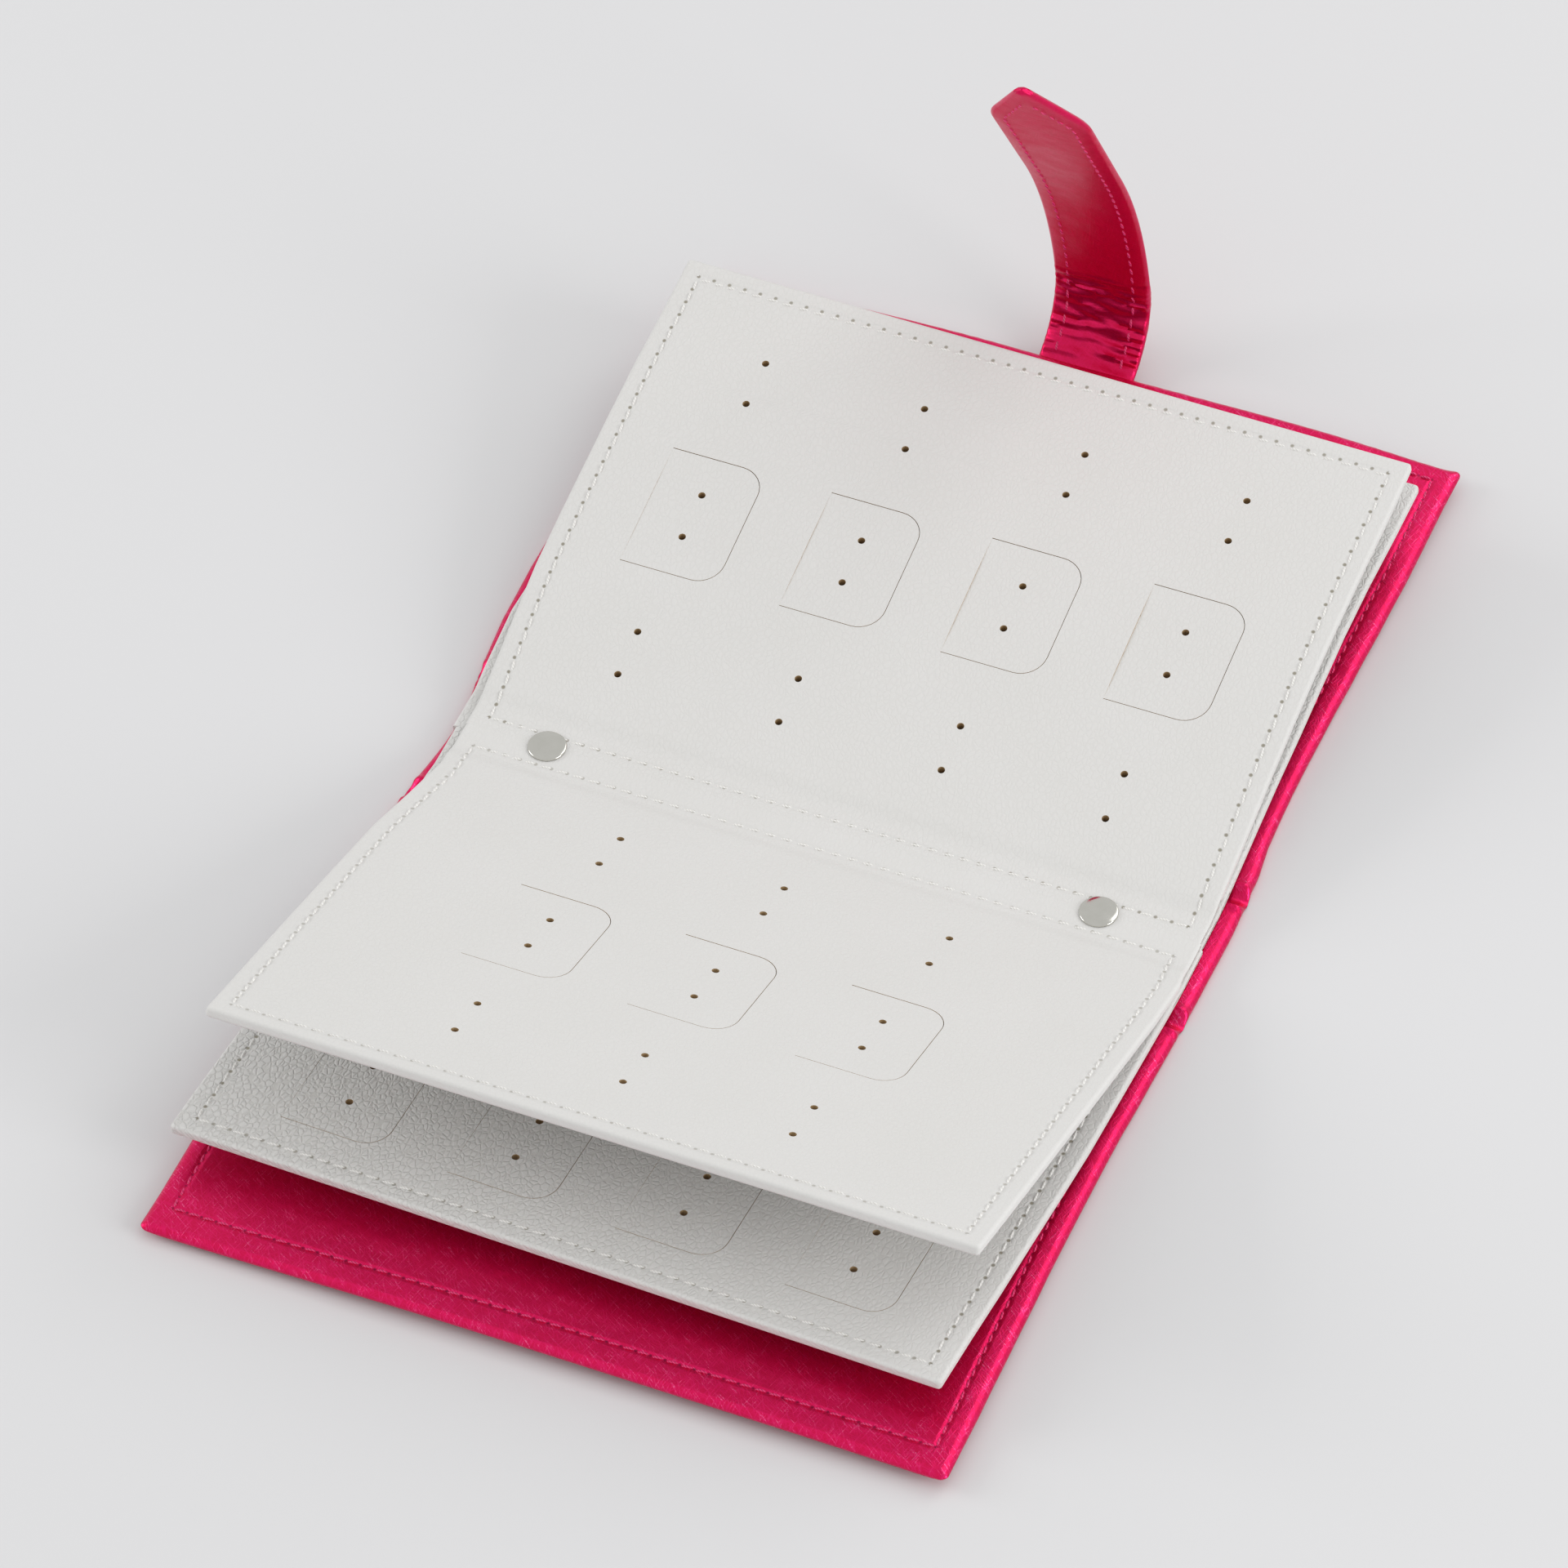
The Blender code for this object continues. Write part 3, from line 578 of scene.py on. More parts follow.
# flat place to real place: thinner in the gutter, then turned about the page's hinge line
def pagePlacer(spec):
    p, tilt = pageSize, math.radians(spec["tilt"])

    def place(co):
        x, v = co.x, spec["side"] * co.y
        hemSide = max(0, abs(x) - p["sewnSide"]) / (p["half"] - p["sewnSide"])
        hemEnd = max(0, v - p["sewnEnd"]) / (p["end"] - p["sewnEnd"])
        cut = between(spec["left"] if x < 0 else spec["right"], v / p["end"])
        hem = -spec["hem"][0] if x < 0 else spec["hem"][1]
        x += mm * (cut * smooth((abs(x) - p["cutFrom"]) / p["cutReach"]) + hem * hemSide)
        atSeam = smooth((v - p["seamFrom"]) / p["seamReach"]) * (1 - smooth(v / p["seamTo"]))
        v += mm * (spec["hem"][2] * hemEnd + spec["seamRow"] * atSeam)
        # the sheet lies a little askew: sideways and outward shifts that grow from the gutter
        ax, bx, av, bv, ramp = spec["askew"]
        grow = smooth(v / (ramp * mm))
        x, v = (x + grow * (ax * mm + bx * v + spec["stretch"] * x),
                v + grow * (av * mm + bv * x) + spec["far"] * mm * smooth((v - p["farFrom"]) / p["farReach"]))
        thin = smooth(v / p["thinTo"])
        top, low = p["rise"] * thin, p["stripLow"] + (p["low"] - p["stripLow"]) * thin
        z = low + (co.z - p["low"]) / (p["rise"] - p["low"]) * (top - low)
        bowed = min(max(v / p["bowEnd"], 0), 1)
        z += (spec["bow"][0] * mm + spec["bow"][1] * x) * math.sin(math.pi * bowed) ** 2
        turn = tilt * smooth((v - p["foldFrom"]) / (p["foldTo"] - p["foldFrom"]))
        out, up = v * math.cos(turn) - z * math.sin(turn), v * math.sin(turn) + z * math.cos(turn)
        return Vector((x, spec["side"] * (spec["hinge"] + out), spec["high"] + up))
    return place


def pairMiddles(spec, row):
    p, columns = pageSize, spec["columns"]
    y = p["firstRow"] + row * p["rowPitch"]
    return [((n - (columns - 1) / 2) * p["columnPitch"], y) for n in range(columns)]


# drills for the two holes of a pair
def addDrills(middle, side):
    drills = []
    for s in (-1, 1):
        deselectAll()
        bpy.ops.mesh.primitive_cylinder_add(
            vertices=pageSize["holeSides"], radius=pageSize["holeRadius"], depth=2 * pageSize["drillReach"],
            location=(middle[0], side * (middle[1] + s * pageSize["pairHalf"]), 0))
        drills.append(takeShape("drill"))
    return drills


def addFlapBlock(name, middle, side, grow, low, high):
    p = pageSize
    x, y = middle[0], side * middle[1]
    right = x + p["flapRight"] + grow
    half = p["flapHalf"] + grow
    block = addBlock(name, (x - p["flapLeft"], y - half, low), (right, y + half, high))
    bevelCorners(block, 0, right, p["flapRound"] + grow, 8)
    return block


def buildPage(page, spec, pageLeather):
    p, side = pageSize, spec["side"]
    end, half = side * p["end"], p["half"]
    yLow, yHigh = sorted((-side * spec["hinge"], end))
    leather = addBlock(page + "_leather", (-half, yLow, p["low"]), (half, yHigh, p["rise"]))
    bevelCorners(leather, 1, end, p["cornerRound"], 5)
    bevelRims(leather, ((p["rise"], p["topRound"], 4), (p["low"], p["lowRound"], 3)), 1,
              (-side * spec["hinge"],))
    folds = [v for v in steps(p["foldCutFrom"], p["foldCutTo"], p["foldCut"]) if v > -spec["hinge"]]
    flats = steps(p["foldCutTo"], p["end"] - p["lastCut"], p["flatCut"])
    cutLines(leather, 1, [side * v for v in folds + flats])
    setMaterials(leather, pageLeather, rawCore)

    # at the gutter's ends the two leathers part and show the tan board between them
    selectFaces(leather, lambda c, n: abs(n.x) > 0.99 and side * c.y < p["partTo"] and p["partLow"] < c.z < 0)
    bpy.ops.mesh.inset(thickness=p["partRim"], depth=-p["partDepth"])
    paintSelected(leather)

    tools = []
    for row in range(3):
        for middle in pairMiddles(spec, row):
            if row == spec["flapRow"]:
                tools.append(addFlapBlock("window", middle, side, p["slit"], -p["windowReach"],
                                          p["windowReach"]))
            else:
                tools += addDrills(middle, side)
    tool = joinPieces("cutter", tools)
    setMaterials(tool, rawCore)
    cutAway(leather, tool)
    drawMap(leather, side)
    movePoints(leather, pagePlacer(spec))
    smoothPiece(leather)
    print("page", page, len(leather.data.polygons), "faces")
    return leather


def buildFlap(page, spec, n, middle, pageLeather):
    p, side = pageSize, spec["side"]
    left = middle[0] - p["flapLeft"]
    flap = addFlapBlock("%s_tab_%d" % (page, n + 1), middle, side, 0, p["low"], p["rise"])
    setMaterials(flap, pageLeather, rawCore)
    selectFaces(flap, lambda c, n: abs(n.z) < 0.5 and c.x > left + 0.1 * mm)
    paintSelected(flap)
    bevelRims(flap, ((p["rise"], p["flapRim"], 2), (p["low"], p["flapRim"], 2)), 0, (left,))
    cutLines(flap, 0, [left + p["flapCut"] * k for k in range(1, 7)])
    tool = joinPieces("cutter", addDrills(middle, side))
    setMaterials(tool, rawCore)
    cutAway(flap, tool)
    drawMap(flap, side)
    place = pagePlacer(spec)
    start = place(Vector((left, side * middle[1], p["rise"])))
    movePoints(flap, place)
    smoothPiece(flap)
    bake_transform(flap)
    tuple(start)
    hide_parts("%s_flap_%d" % (page, n + 1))


def sewPage(page, spec):
    p, r, side = pageSize, pageRows, spec["side"]
    xs, low, high = r["side"] * mm, side * r["low"] * mm, side * r["high"] * mm
    rows = []
    for z in (p["rise"] + stitchSet["lift"], p["low"] - stitchSet["lift"]):
        rows += [((x, low, z), (x, high, z), r["alongCount"]) for x in (-xs, xs)]
        rows += [((-xs, y, z), (xs, y, z), r["acrossCount"]) for y in (low, high)]
    sewn = sewRows(page + "_stitches", rows, whiteThread)
    movePoints(sewn, pagePlacer(spec))
    return sewn


for page, spec in pageSet.items():
    pageLeather = makePageLeather(page, spec["holeShadeStrengths"], spec["grain"])
    leather = buildPage(page, spec, pageLeather)
    sewn = sewPage(page, spec)
    side, hinge, high = spec["side"], spec["hinge"], spec["high"]
    tilt, foldTo = math.radians(spec["tilt"]), pageSize["foldTo"]
    start = (0, side * (hinge + pageSize["foldFrom"]), high)
    end = (0, side * (hinge + foldTo * math.cos(tilt)), high + foldTo * math.sin(tilt))
    for piece in (leather, sewn):
        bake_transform(piece)
        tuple(start)
        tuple(end)
    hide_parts(*[page + "_" + layer for layer in ("face", "core", "back", "band")])
    if side > 0:
        sheet = "sheet" + page[-1]
        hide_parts(*[sheet + "_strip_" + layer for layer in ("face", "core", "back")])
    if spec["flapRow"] is not None:
        for n, middle in enumerate(pairMiddles(spec, spec["flapRow"])):
            buildFlap(page, spec, n, middle, pageLeather)
print("pages done")


# case
caseSize = {
    **lengths(
        half=100.0, edge=168.75, top=2.7, crease=20.75, creaseHalf=3.2, creaseTop=1.4, cornerRound=2.0,
        topRound=1.9, lowRound=0.4, crumpleFrom=86.0, crumpleOut=0.4, crumpleReach=9.0, fold=0.35,
        foldReach=4.5, lip=0.7, lipAt=3.6, lipWidth=1.3, ridge=0.55, waist=3.0, waistAt=3.0, waistReach=32.0,
        sag=0.25, waver=0.10, slopeFrom=5.0, slope=0.45, cornerReach=5.0, undercut=0.3, wallTop=1.4,
        wallReach=3.0, puckerReach=3.5, pucker=0.16, waistFrom=65.0, waistTo=95.0, waverFrom=60.0,
        waverTo=95.0, liftFrom=24.0, frontLift=1.4, spineCut=4.0, boardCut=9.0, acrossCut=2.0, fitCut=10.0,
        bendReach=3.0,
    ),
    "cornerDraw": {1: 0.6 * mm, -1: 0.3 * mm}, "backLate": 0.23,
    # cuts across the boards: from, to and step
    "creaseCuts": (11.0 * mm, 30.0 * mm, 0.6 * mm), "rimCuts": (84.0 * mm, 98.8 * mm, 1.0 * mm),
    # where the edges rise further: height, where that begins along x, and over what length
    "frontRise": ((1.75 * mm, -100 * mm, 85 * mm), (-0.4 * mm, 60 * mm, 40 * mm)),
    "backRise": ((2.6 * mm, -95 * mm, 75 * mm), (1.2 * mm, -5 * mm, 60 * mm),
                 (-1.1 * mm, 65 * mm, 35 * mm)),
    # how far the long edges stand out from a straight line, in mm, every 17 mm from the front to the back
    "rightOut": (1.3, 1.2, 0.8, 0.5, 0.1, 0.0, 0.0, 0.5, 0.9, 1.3, 1.5, 0.8, -0.9, -1.3, -1.1, -0.6, -0.1,
                 0.3, 0.2, 0.0),
    "leftOut": (0.5, 0.5, 0.5, 0.5, 0.4, 0.2, 0.0, 0.0, 0.0, 0.0, 0.0, 0.1, 1.1, 1.6, 0.7, 0.0, 0.0, 0.0,
                0.0, 0.0),
}


# the boards are not quite flat: the front and back edges stand off the table, the left corners less
def caseLift(x, y):
    c = caseSize
    out = max(0.0, abs(y) - c["liftFrom"]) / (c["edge"] - c["liftFrom"])
    ramps = c["frontRise"] if y < 0 else c["backRise"]
    rise = sum(height * smooth((x - start) / reach) for height, start, reach in ramps)
    if y < 0:
        return out * (c["frontLift"] + rise)
    return smooth((1 + c["backLate"]) * out - c["backLate"]) * rise


# the spine's left end is drawn in a little, and the long edges waver
def drawIn(x, y):
    c = caseSize
    waist = c["waist"] * smooth(1 - abs(y - c["waistAt"]) / c["waistReach"])
    share = (y / c["edge"] + 1) / 2
    near = smooth((abs(x) - c["waverFrom"]) / (c["waverTo"] - c["waverFrom"])) * mm
    if x > 0:
        return x + between(c["rightOut"], share) * near
    atWaist = smooth((-x - c["waistFrom"]) / (c["waistTo"] - c["waistFrom"]))
    return x + waist * atWaist - between(c["leftOut"], share) * near


def boardPlace(co):
    return Vector((drawIn(co.x, co.y), co.y, co.z + caseLift(co.x, co.y)))


def casePlace(co):
    c = caseSize
    x, y, z = co
    away = abs(abs(y) - c["crease"])
    dipped = (1 - min(away / (c["creaseHalf"] + 0.6 * mm), 1) ** 2) ** 2
    share = z / c["top"]
    near = (smooth((abs(x) - c["crumpleFrom"]) / (c["half"] - c["crumpleFrom"]))
            * smooth(1 - away / c["crumpleReach"]))
    z -= dipped * ((c["top"] - c["creaseTop"]) * share * (1 + 0.5 * near) - c["sag"] * (1 - share))
    # outside the sewn rows the padding thins towards the edge, and the corners are drawn out to points
    toSide, toEnd = c["half"] - abs(x), c["edge"] - abs(y)
    z -= share * c["slope"] * (1 - min(toSide, toEnd, c["slopeFrom"]) / c["slopeFrom"]) ** 2
    corner = smooth(1 - (toSide + toEnd) / c["cornerReach"])
    # the wall leans in under the rim, and the rim has small puckers from turning the leather over the board
    under = c["undercut"] * max(0.0, 1 - z / c["wallTop"])
    x -= math.copysign(under * smooth(1 - toSide / c["wallReach"]), x)
    y -= math.copysign(under * smooth(1 - toEnd / c["wallReach"]), y)
    puckered = c["pucker"] * smooth(1 - toEnd / c["puckerReach"])
    z += share * puckered * noise.noise(Vector((co.x * 520, co.y * 130, 4)))
    drawn = corner * c["cornerDraw"][1 if y > 0 else -1]
    x += math.copysign(drawn, x)
    y += math.copysign(drawn, y)
    z += corner * (0.35 * c["top"] - 0.45 * z)
    # the foil is crushed into small folds where the creases meet the side edges
    fold = noise.noise(Vector((x * 90, y * 420, z * 200 + (3 if y > 0 else 9))))
    ridge = 1 - abs(noise.noise(Vector((x * 60 + 5, y * 260, z * 150)))) * 2.2
    peak = max(0.0, 1 - away / c["foldReach"]) ** 1.6
    x += math.copysign(near * (c["crumpleOut"] * peak + c["fold"] * fold), x)
    lip = math.exp(-((away - c["lipAt"]) / c["lipWidth"]) ** 2)
    z += near * share * (c["lip"] * lip + c["ridge"] * ridge * (1 - 0.6 * dipped))
    # the rest of the edge wavers a little, as turned leather does
    z += share * c["waver"] * noise.noise(Vector((x * 40, y * 40, 2)))
    return boardPlace(Vector((x, y, max(z, 0))))


def buildCaseHalf(name, side):
    c = caseSize
    half, edge = c["half"], side * c["edge"]
    yLow, yHigh = sorted((0, edge))
    case = addBlock(name + "_case", (-half, yLow, 0), (half, yHigh, c["top"]))
    bevelCorners(case, 1, edge, c["cornerRound"], 6)
    bevelRims(case, ((c["top"], c["topRound"], 6), (0, c["lowRound"], 2)), 1, (0,))
    creaseFrom, creaseTo, creaseCut = c["creaseCuts"]
    cutLines(case, 1, [side * v for v in steps(0, creaseFrom, c["spineCut"]) + [creaseFrom]
                       + steps(creaseFrom, creaseTo, creaseCut) + [creaseTo]
                       + steps(creaseTo, c["edge"] - 2 * mm, c["boardCut"])])
    inner = c["rimCuts"][0]
    cutLines(case, 0, [s * v for v in steps(*c["rimCuts"]) for s in (-1, 1)]
             + steps(-inner, inner, c["acrossCut"]) + [-inner, inner])
    setMaterials(case, caseFoil)
    drawMap(case)
    movePoints(case, casePlace)
    smoothPiece(case)
    print("case half", name, len(case.data.polygons), "faces")
    return case


def sewCaseHalf(name, side):
    c, r = caseSize, caseRows
    xs, end, start = r["side"] * mm, r["high" if side > 0 else "low"] * mm, (r["low"] + r["high"]) / 2 * mm
    rows = []
    for z in (c["top"] + stitchSet["lift"], -0.001 * mm):
        for x in (-xs, xs):
            rows.append(((x, start, z), (x, end, z), r["alongCount"] // 2))
        rows.append(((-xs, end, z), (xs, end, z), r["acrossCount"]))
    sewn = sewRows(name + "_case_stitches", rows, pinkThread)
    movePoints(sewn, casePlace)
    return sewn


for name, side in (("back", 1), ("front", -1)):
    case = buildCaseHalf(name, side)
    sewn = sewCaseHalf(name, side)
    start, end = [side * (caseSize["crease"] + s * caseSize["bendReach"]) for s in (-1, 1)]
    for piece in (case, sewn):
        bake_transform(piece)
    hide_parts(name + "_skin", name + "_lining")
    if side > 0:
        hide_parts("spine_skin", "spine_lining")


# the boards and the magnet inside have their CAD shape, and follow the case's small lifts
def fitInside(node, body, material):
    fitted = bpy.data.objects.new(node + "_fitted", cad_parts[node].data.copy())
    bpy.context.scene.collection.objects.link(fitted)
    pick(fitted)
    setMode("EDIT")
    bpy.ops.mesh.select_all(action="SELECT")
    bpy.ops.mesh.remove_doubles(threshold=tiny)
    setMode("OBJECT")
    low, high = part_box(node)
    for axis in (0, 1):
        cutLines(fitted, axis, steps(low[axis], high[axis], caseSize["fitCut"]))
    movePoints(fitted, boardPlace)
    setMaterials(fitted, material)
    smoothPiece(fitted)
    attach(fitted, body)
    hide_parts(node)


for node, body in (("back_board", "back_cover"), ("spine_board", "spine"), ("front_board", "front_cover")):
    fitInside(node, body, greyBoard)
fitInside("front_magnet", "front_cover", zincSteel)
print("case done")


# strap
# its centre line is three arcs; flat places are across, along the strap, and off the centre line
strapSize = {
    **lengths(
        half=12.6, thick=2.6, startY=169.35, startZ=3.4, tuck=6.0, seam=28.0, tuckTurn=3.0, tuckReach=2.0,
        rowFrom=1.0, length=145.1, tipFrom=123.9, tipPoint=148.0, tipRound=2.5, border=1.2, topRound=0.9,
        stitchInset=4.0, stitchPitch=3.6, stitchEnd=122.9, wrinkleFrom=-2.0, wrinkleGrow=5.0,
        wrinkleFade=22.0, wrinkleTo=33.0, wrinkleDepth=1.15, drift=-1.9, shift=0.7, tipSoft=4.0,
        slopeFrom=4.2, slope=0.65, tipCuts=8.0, tipCut=0.5, footCut=0.6, bandCut=2.0, acrossCut=1.2,
        magnetPlace=126.6, magnetRadius=5.0, magnetThick=1.0, magnetRim=0.15,
    ),
    "startTurn": 20.8, "arcs": ((77.3, 25 * mm), (20.9, 57.2 * mm), (0.2, 64 * mm)), "roll": -7.0,
    "tuckSink": 0.12, "tuckThin": 0.45, "tipStitches": (1.2 * mm, 14.2 * mm, 5),
    # each bend's middle along the strap, and its reach to either side
    "swing": (5.0 * mm, 4.0 * mm), "bend": (52.0 * mm, 11.0 * mm),
}


# half the strap's width: straight, then a point with a round end
def strapHalf(along):
    s = strapSize
    slope = s["half"] / (s["tipPoint"] - s["tipFrom"])
    lean = math.atan(slope)
    centre = s["tipPoint"] - s["tipRound"] / math.sin(lean)
    into = along - s["tipFrom"] + s["tipSoft"]
    if into < 0:
        return s["half"]
    if into < 2 * s["tipSoft"]:  # the corners where the point begins are rounded
        return s["half"] - slope * into * into / (4 * s["tipSoft"])
    if along < centre + s["tipRound"] * math.sin(lean):
        return (s["tipPoint"] - along) * slope
    return math.sqrt(max(s["tipRound"] ** 2 - (along - centre) ** 2, (0.2 * mm) ** 2))


def narrowTip(co):
    s, wide = strapSize, strapHalf(co.y)
    border = s["border"] * min(1, wide / (2 * s["border"]))
    inner = s["half"] - s["border"]
    if abs(co.x) > inner:
        x = wide - border * (s["half"] - abs(co.x)) / s["border"]
    else:
        x = abs(co.x) * (wide - border) / inner
    return Vector((math.copysign(x, co.x), co.y, co.z))


def strapPlace(co):
    s = strapSize
    x, along, off = co
    y, z, turn, left = s["startY"], s["startZ"], math.radians(s["startTurn"]), max(along, 0)
    if along < 0:  # tucked into the cover's edge
        turn *= smooth(1 + along / s["tuckTurn"])
        y += along
        z += along * s["tuckSink"]
        off *= 1 - s["tuckThin"] * smooth(-along / s["tuckReach"])
    for bend, length in s["arcs"]:
        part = min(left, length)
        radius = length / math.radians(bend)
        y += radius * (math.sin(turn + part / radius) - math.sin(turn))
        z += radius * (math.cos(turn) - math.cos(turn + part / radius))
        turn += part / radius
        left -= part
        if left <= 0:
            break
    fade = smooth((along - s["wrinkleFade"]) / (s["wrinkleTo"] - s["wrinkleFade"]))
    grow = smooth((along - s["wrinkleFrom"]) / s["wrinkleGrow"]) * (1 - fade)
    ridge = 1 - abs(noise.noise(Vector((x * 45 + along * 70, along * 300, 1)))) * 3.2
    fine = noise.noise(Vector((x * 110, along * 700, 5)))
    off += math.copysign(grow * s["wrinkleDepth"] * (0.65 * ridge + 0.3 * fine), off) * min(abs(off) / mm, 1)
    toEdge = max(strapHalf(along) - abs(x), 0)
    off -= math.copysign(s["slope"] * max(0, 1 - toEdge / s["slopeFrom"]) ** 2, off) * min(abs(off) / mm, 1)
    share = along / s["length"]
    roll = math.radians(s["roll"]) * share
    off += x * math.sin(roll)
    x = x * math.cos(roll) + s["shift"] + s["drift"] * share
    return Vector((x, y - off * math.sin(turn), z + off * math.cos(turn)))


def buildStrapPiece(name, start, end, step, tip):
    s = strapSize
    half, low, high = s["half"], -s["thick"] / 2, s["thick"] / 2
    strap = addBlock(name, (-half, start, low), (half, end, high))
    openEnds = (start,) if tip else (start, end)
    bevelRims(strap, ((low, s["topRound"], 4), (high, s["topRound"], 4)), 1, openEnds)
    cutLines(strap, 1, steps(start, end - (s["tipCuts"] if tip else 0), step))
    if tip:
        cutLines(strap, 1, [end - s["tipCuts"] + n * s["tipCut"] for n in range(14)])
    cutLines(strap, 0, steps(-half + mm, half - mm, s["acrossCut"]))
    setMaterials(strap, strapFoil)
    movePoints(strap, narrowTip)
    drawMap(strap)
    movePoints(strap, strapPlace)
    smoothPiece(strap)
    return strap


def sewStrap(name, start, end, tip):
    s = strapSize
    x = s["half"] - s["stitchInset"]
    rows = []
    top, count = s["thick"] / 2 + stitchSet["lift"], round((end - start) / s["stitchPitch"])
    for z in (top, -top):
        for side in (-1, 1):
            rows.append(((side * x, start, z), (side * x, end, z), count))
            if tip:
                tipX, tipAlong, tipCount = s["tipStitches"]
                rows.append(((side * x, end, z), (side * tipX, end + tipAlong, z), tipCount))
    sewn = sewRows(name, rows, pinkThread)
    movePoints(sewn, strapPlace)
    return sewn


strapRoot = buildStrapPiece("strap_foot", -strapSize["tuck"], strapSize["seam"], strapSize["footCut"], False)
strapEnd = buildStrapPiece("strap_band", strapSize["seam"], strapSize["length"], strapSize["bandCut"], True)
rootSewn = sewStrap("strap_foot_stitches", strapSize["rowFrom"], strapSize["seam"], False)
endSewn = sewStrap("strap_band_stitches", strapSize["seam"], strapSize["stitchEnd"], True)
for pieces, bodies, bend in (((strapRoot, rootSewn), ("back_cover", "strap_lower"), "swing"),
                             ((strapEnd, endSewn), ("strap_lower", "strap_upper"), "bend")):
    middle, reach = strapSize[bend]
    start, end = [strapPlace(Vector((0, middle + s * reach, 0))) for s in (-1, 1)]
    for piece in pieces:
        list(bodies)
        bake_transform(piece)
        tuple(start)
        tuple(end)
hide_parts("strap_tab", "strap_root", "strap_lower_outer", "strap_lower_inner")
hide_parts("strap_upper_outer", "strap_upper_core", "strap_upper_inner")

# the magnet inside the tip
deselectAll()
bpy.ops.mesh.primitive_cylinder_add(vertices=32, radius=strapSize["magnetRadius"],
                                    depth=strapSize["magnetThick"],
                                    location=(0, strapSize["magnetPlace"], 0))
magnet = takeShape("strap_magnet_disc")
bevelEdges(magnet, lambda a, b: abs(a.z - b.z) < tiny, strapSize["magnetRim"], 2)
movePoints(magnet, strapPlace)
setMaterials(magnet, zincSteel)
smoothPiece(magnet)
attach(magnet, "strap_upper")
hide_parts("strap_magnet")
print("strap done")


# binding caps: turned discs with a low dome, screwed down on the top sheet
capSet = {
    "places": (-71.3 * mm, 71.3 * mm), "sides": 64, "low": 7.12 * mm,
    "rings": ((4.35, 7.12), (4.70, 7.20), (4.75, 7.42), (4.70, 7.60), (4.55, 7.70), (4.3, 7.76), (3.6, 7.83),
              (2.8, 7.89), (1.9, 7.94), (1.0, 7.97), (0.35, 7.98)),
    "shank": (1.1 * mm, 3.4 * mm),
}


def buildCap(n, x):
    s = capSet
    first = s["rings"][0]
    deselectAll()
    bpy.ops.mesh.primitive_circle_add(vertices=s["sides"], radius=first[0] * mm, fill_type="NGON",
                                      location=(x, 0, first[1] * mm))
    cap = takeShape("binding_cap_%d" % n)
    setMode("EDIT")
    bpy.ops.mesh.select_all(action="SELECT")
    for (radius, height), (nextRadius, nextHeight) in zip(s["rings"], s["rings"][1:]):
        bpy.ops.mesh.extrude_region_move(TRANSFORM_OT_translate={"value": (0, 0, (nextHeight - height) * mm)})
        share = nextRadius / radius
        bpy.ops.transform.resize(value=(share, share, 1), center_override=(x, 0, nextHeight * mm))
    bpy.ops.mesh.select_all(action="SELECT")
    bpy.ops.mesh.normals_make_consistent(inside=False)
    setMode("OBJECT")
    selectFaces(cap, lambda c, normal: normal.z < -0.99)
    bpy.ops.mesh.inset(thickness=first[0] * mm - s["shank"][0], depth=0)
    bpy.ops.mesh.extrude_region_move(TRANSFORM_OT_translate={"value": (0, 0, -(s["low"] - s["shank"][1]))})
    setMode("OBJECT")
    setMaterials(cap, nickel)
    smoothPiece(cap, 50, weighted=False)
    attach(cap, "spine")
    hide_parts("post_cap_%d" % n)


for n, x in enumerate(capSet["places"]):
    buildCap(n + 1, x)

# hidden CAD pieces keep their shape and get their real material
for node in ("post_barrel_1", "post_barrel_2"):
    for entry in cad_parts[node].material_slots:
        entry.material = zincSteel
print("caps and hidden parts done")


# table, light and camera
def makeTable():
    s = stageSet
    # painted board, matt white
    material = makePlain("matt_white_table", ("TexNoise", {"Scale": 1.2, "Detail": 2.0}), s["tableColour"],
                         s["tableShade"], None, {"Roughness": 0.9, "Specular IOR Level": 0.1})
    deselectAll()
    bpy.ops.mesh.primitive_plane_add(size=s["tableSize"], location=(0, 0, -s["tableDrop"]))
    table = bpy.context.active_object
    table.name = "table"
    setMaterials(table, material)


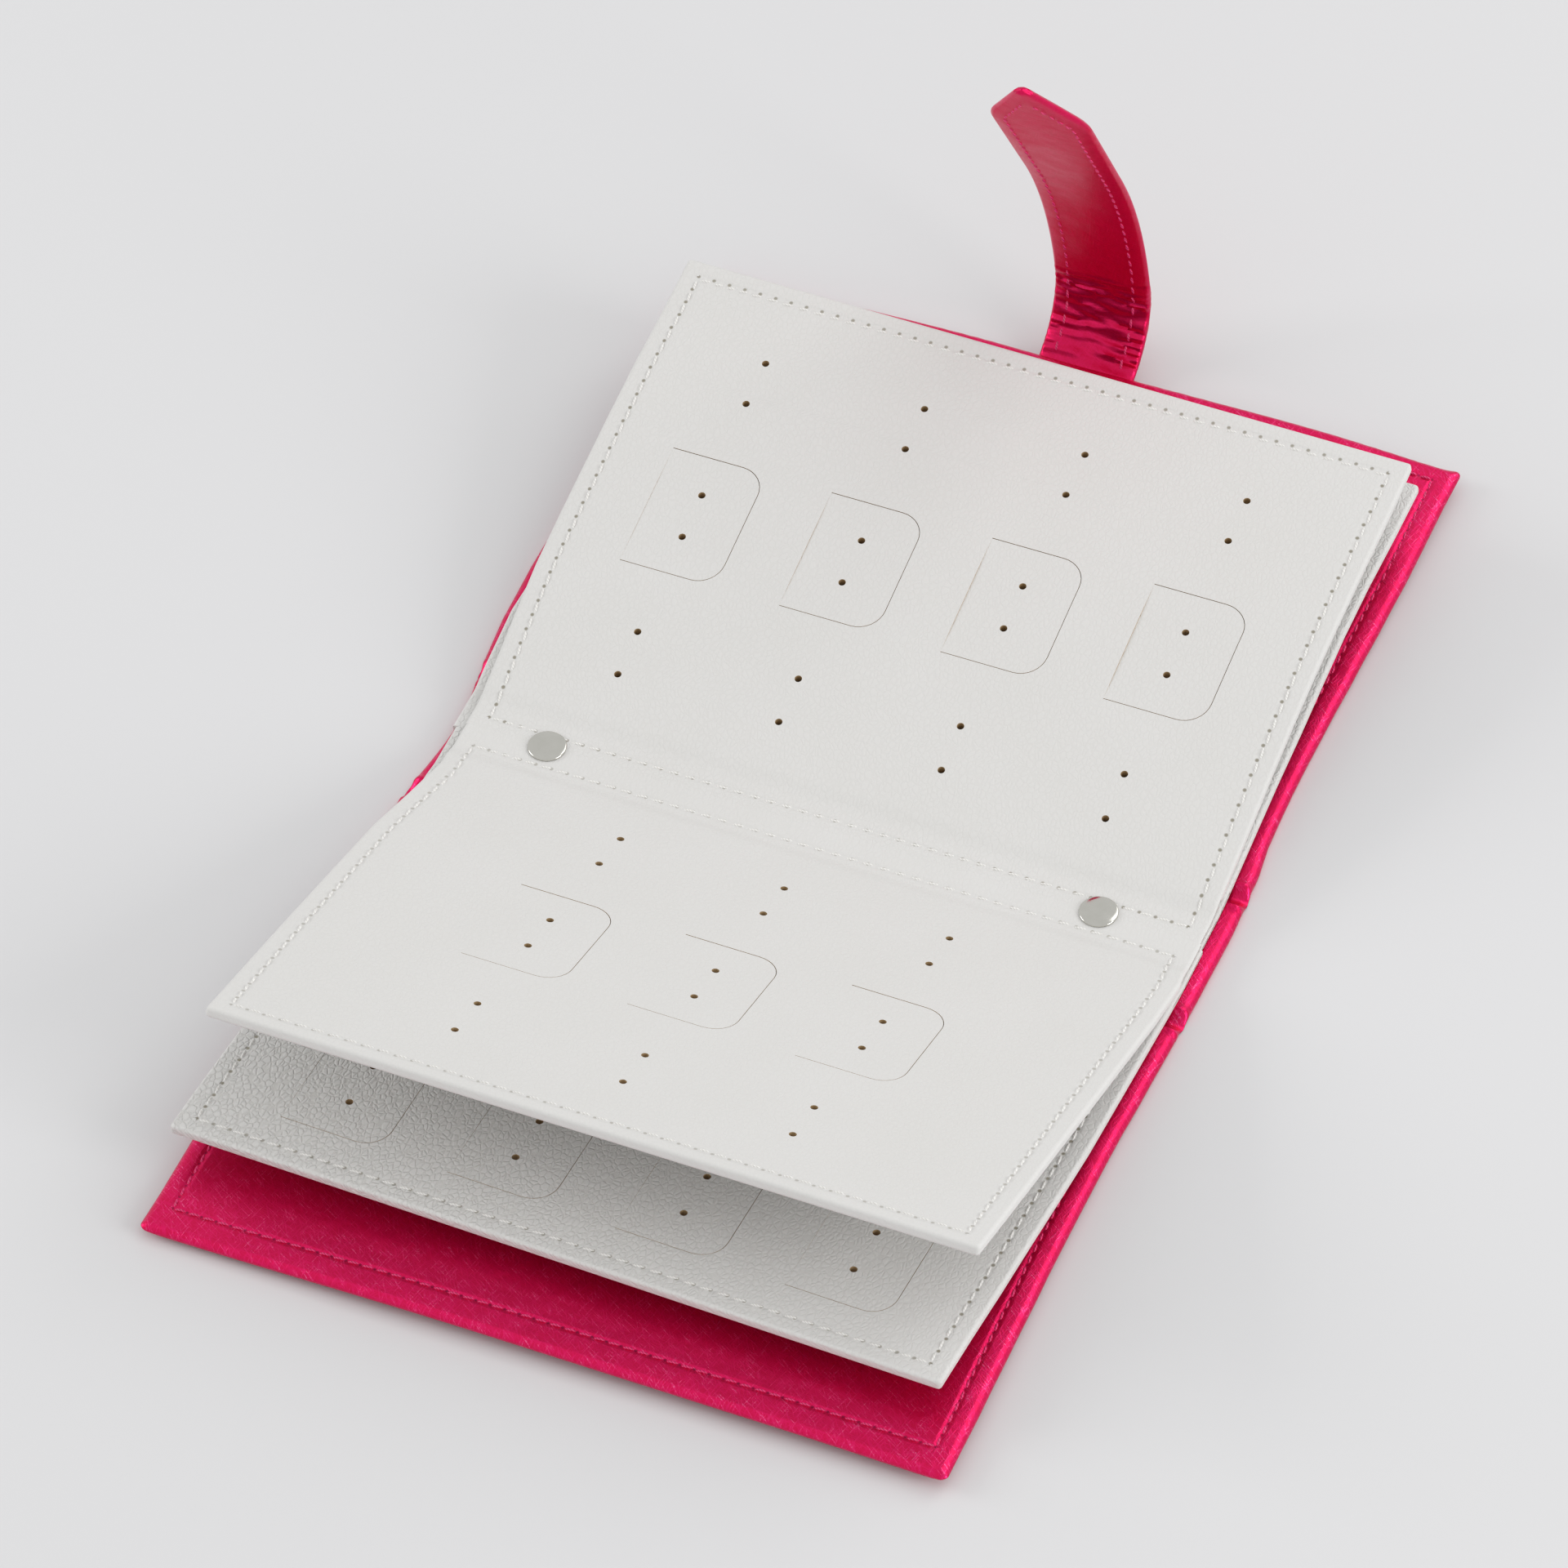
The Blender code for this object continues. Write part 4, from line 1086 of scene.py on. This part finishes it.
def makeSky():
    world = bpy.data.worlds.new("studio")
    bpy.context.scene.world = world
    world.use_nodes = True
    tree = world.node_tree
    tree.nodes.clear()
    path = addNode(tree, "LightPath", {}).outputs
    seen = addNode(tree, "Math", {"operation": "MAXIMUM", 0: path["Is Camera Ray"],
                                  1: path["Is Glossy Ray"]})
    seen = addNode(tree, "Math", {"operation": "MAXIMUM", 0: seen, 1: path["Is Transmission Ray"]})
    light = addNode(tree, "Background", {"Color": (1, 1, 1, 1), "Strength": stageSet["skyStrength"]})
    back = addNode(tree, "Background", {"Color": linear(stageSet["skyColour"]), "Strength": 1.0})
    mix = addNode(tree, "MixShader", {0: seen, 1: light, 2: back})
    addNode(tree, "OutputWorld", {0: mix})


def addSoftbox(name, size, power, place):
    deselectAll()
    bpy.ops.object.light_add(type="AREA", location=place)
    lamp = bpy.context.active_object
    lamp.name = name
    lamp.data.shape = "SQUARE"
    lamp.data.size = size
    lamp.data.energy = power
    lamp.rotation_euler = (-Vector(place)).to_track_quat("-Z", "Y").to_euler()


def addCamera():
    s = cameraSet
    yaw, pitch, roll = [math.radians(s[key]) for key in ("yaw", "pitch", "roll")]
    right = Vector((math.cos(yaw), -math.sin(yaw), 0))
    ahead = Vector((math.sin(yaw), math.cos(yaw), 0))
    up = ahead * math.sin(pitch) + Vector((0, 0, 1)) * math.cos(pitch)
    view = ahead * math.cos(pitch) - Vector((0, 0, 1)) * math.sin(pitch)
    eye = right * s["across"] + up * s["up"] - view * s["distance"]
    rolledRight = right * math.cos(roll) - up * math.sin(roll)
    rolledUp = right * math.sin(roll) + up * math.cos(roll)
    data = bpy.data.cameras.new("camera")
    data.sensor_width = s["sensor"]
    data.lens = s["lens"]
    data.clip_start, data.clip_end = 0.05, 60
    camera = bpy.data.objects.new("camera", data)
    bpy.context.scene.collection.objects.link(camera)
    turn = Matrix((rolledRight, rolledUp, -view)).transposed().to_4x4()
    camera.matrix_world = Matrix.Translation(eye) @ turn
    bpy.context.scene.camera = camera


makeTable()
makeSky()
for name, (size, power, place) in stageSet["softboxes"].items():
    addSoftbox(name, size, power, place)
addCamera()
bpy.context.scene.view_settings.view_transform = "Standard"
print("stage done")

bpy.context.view_layer.update()
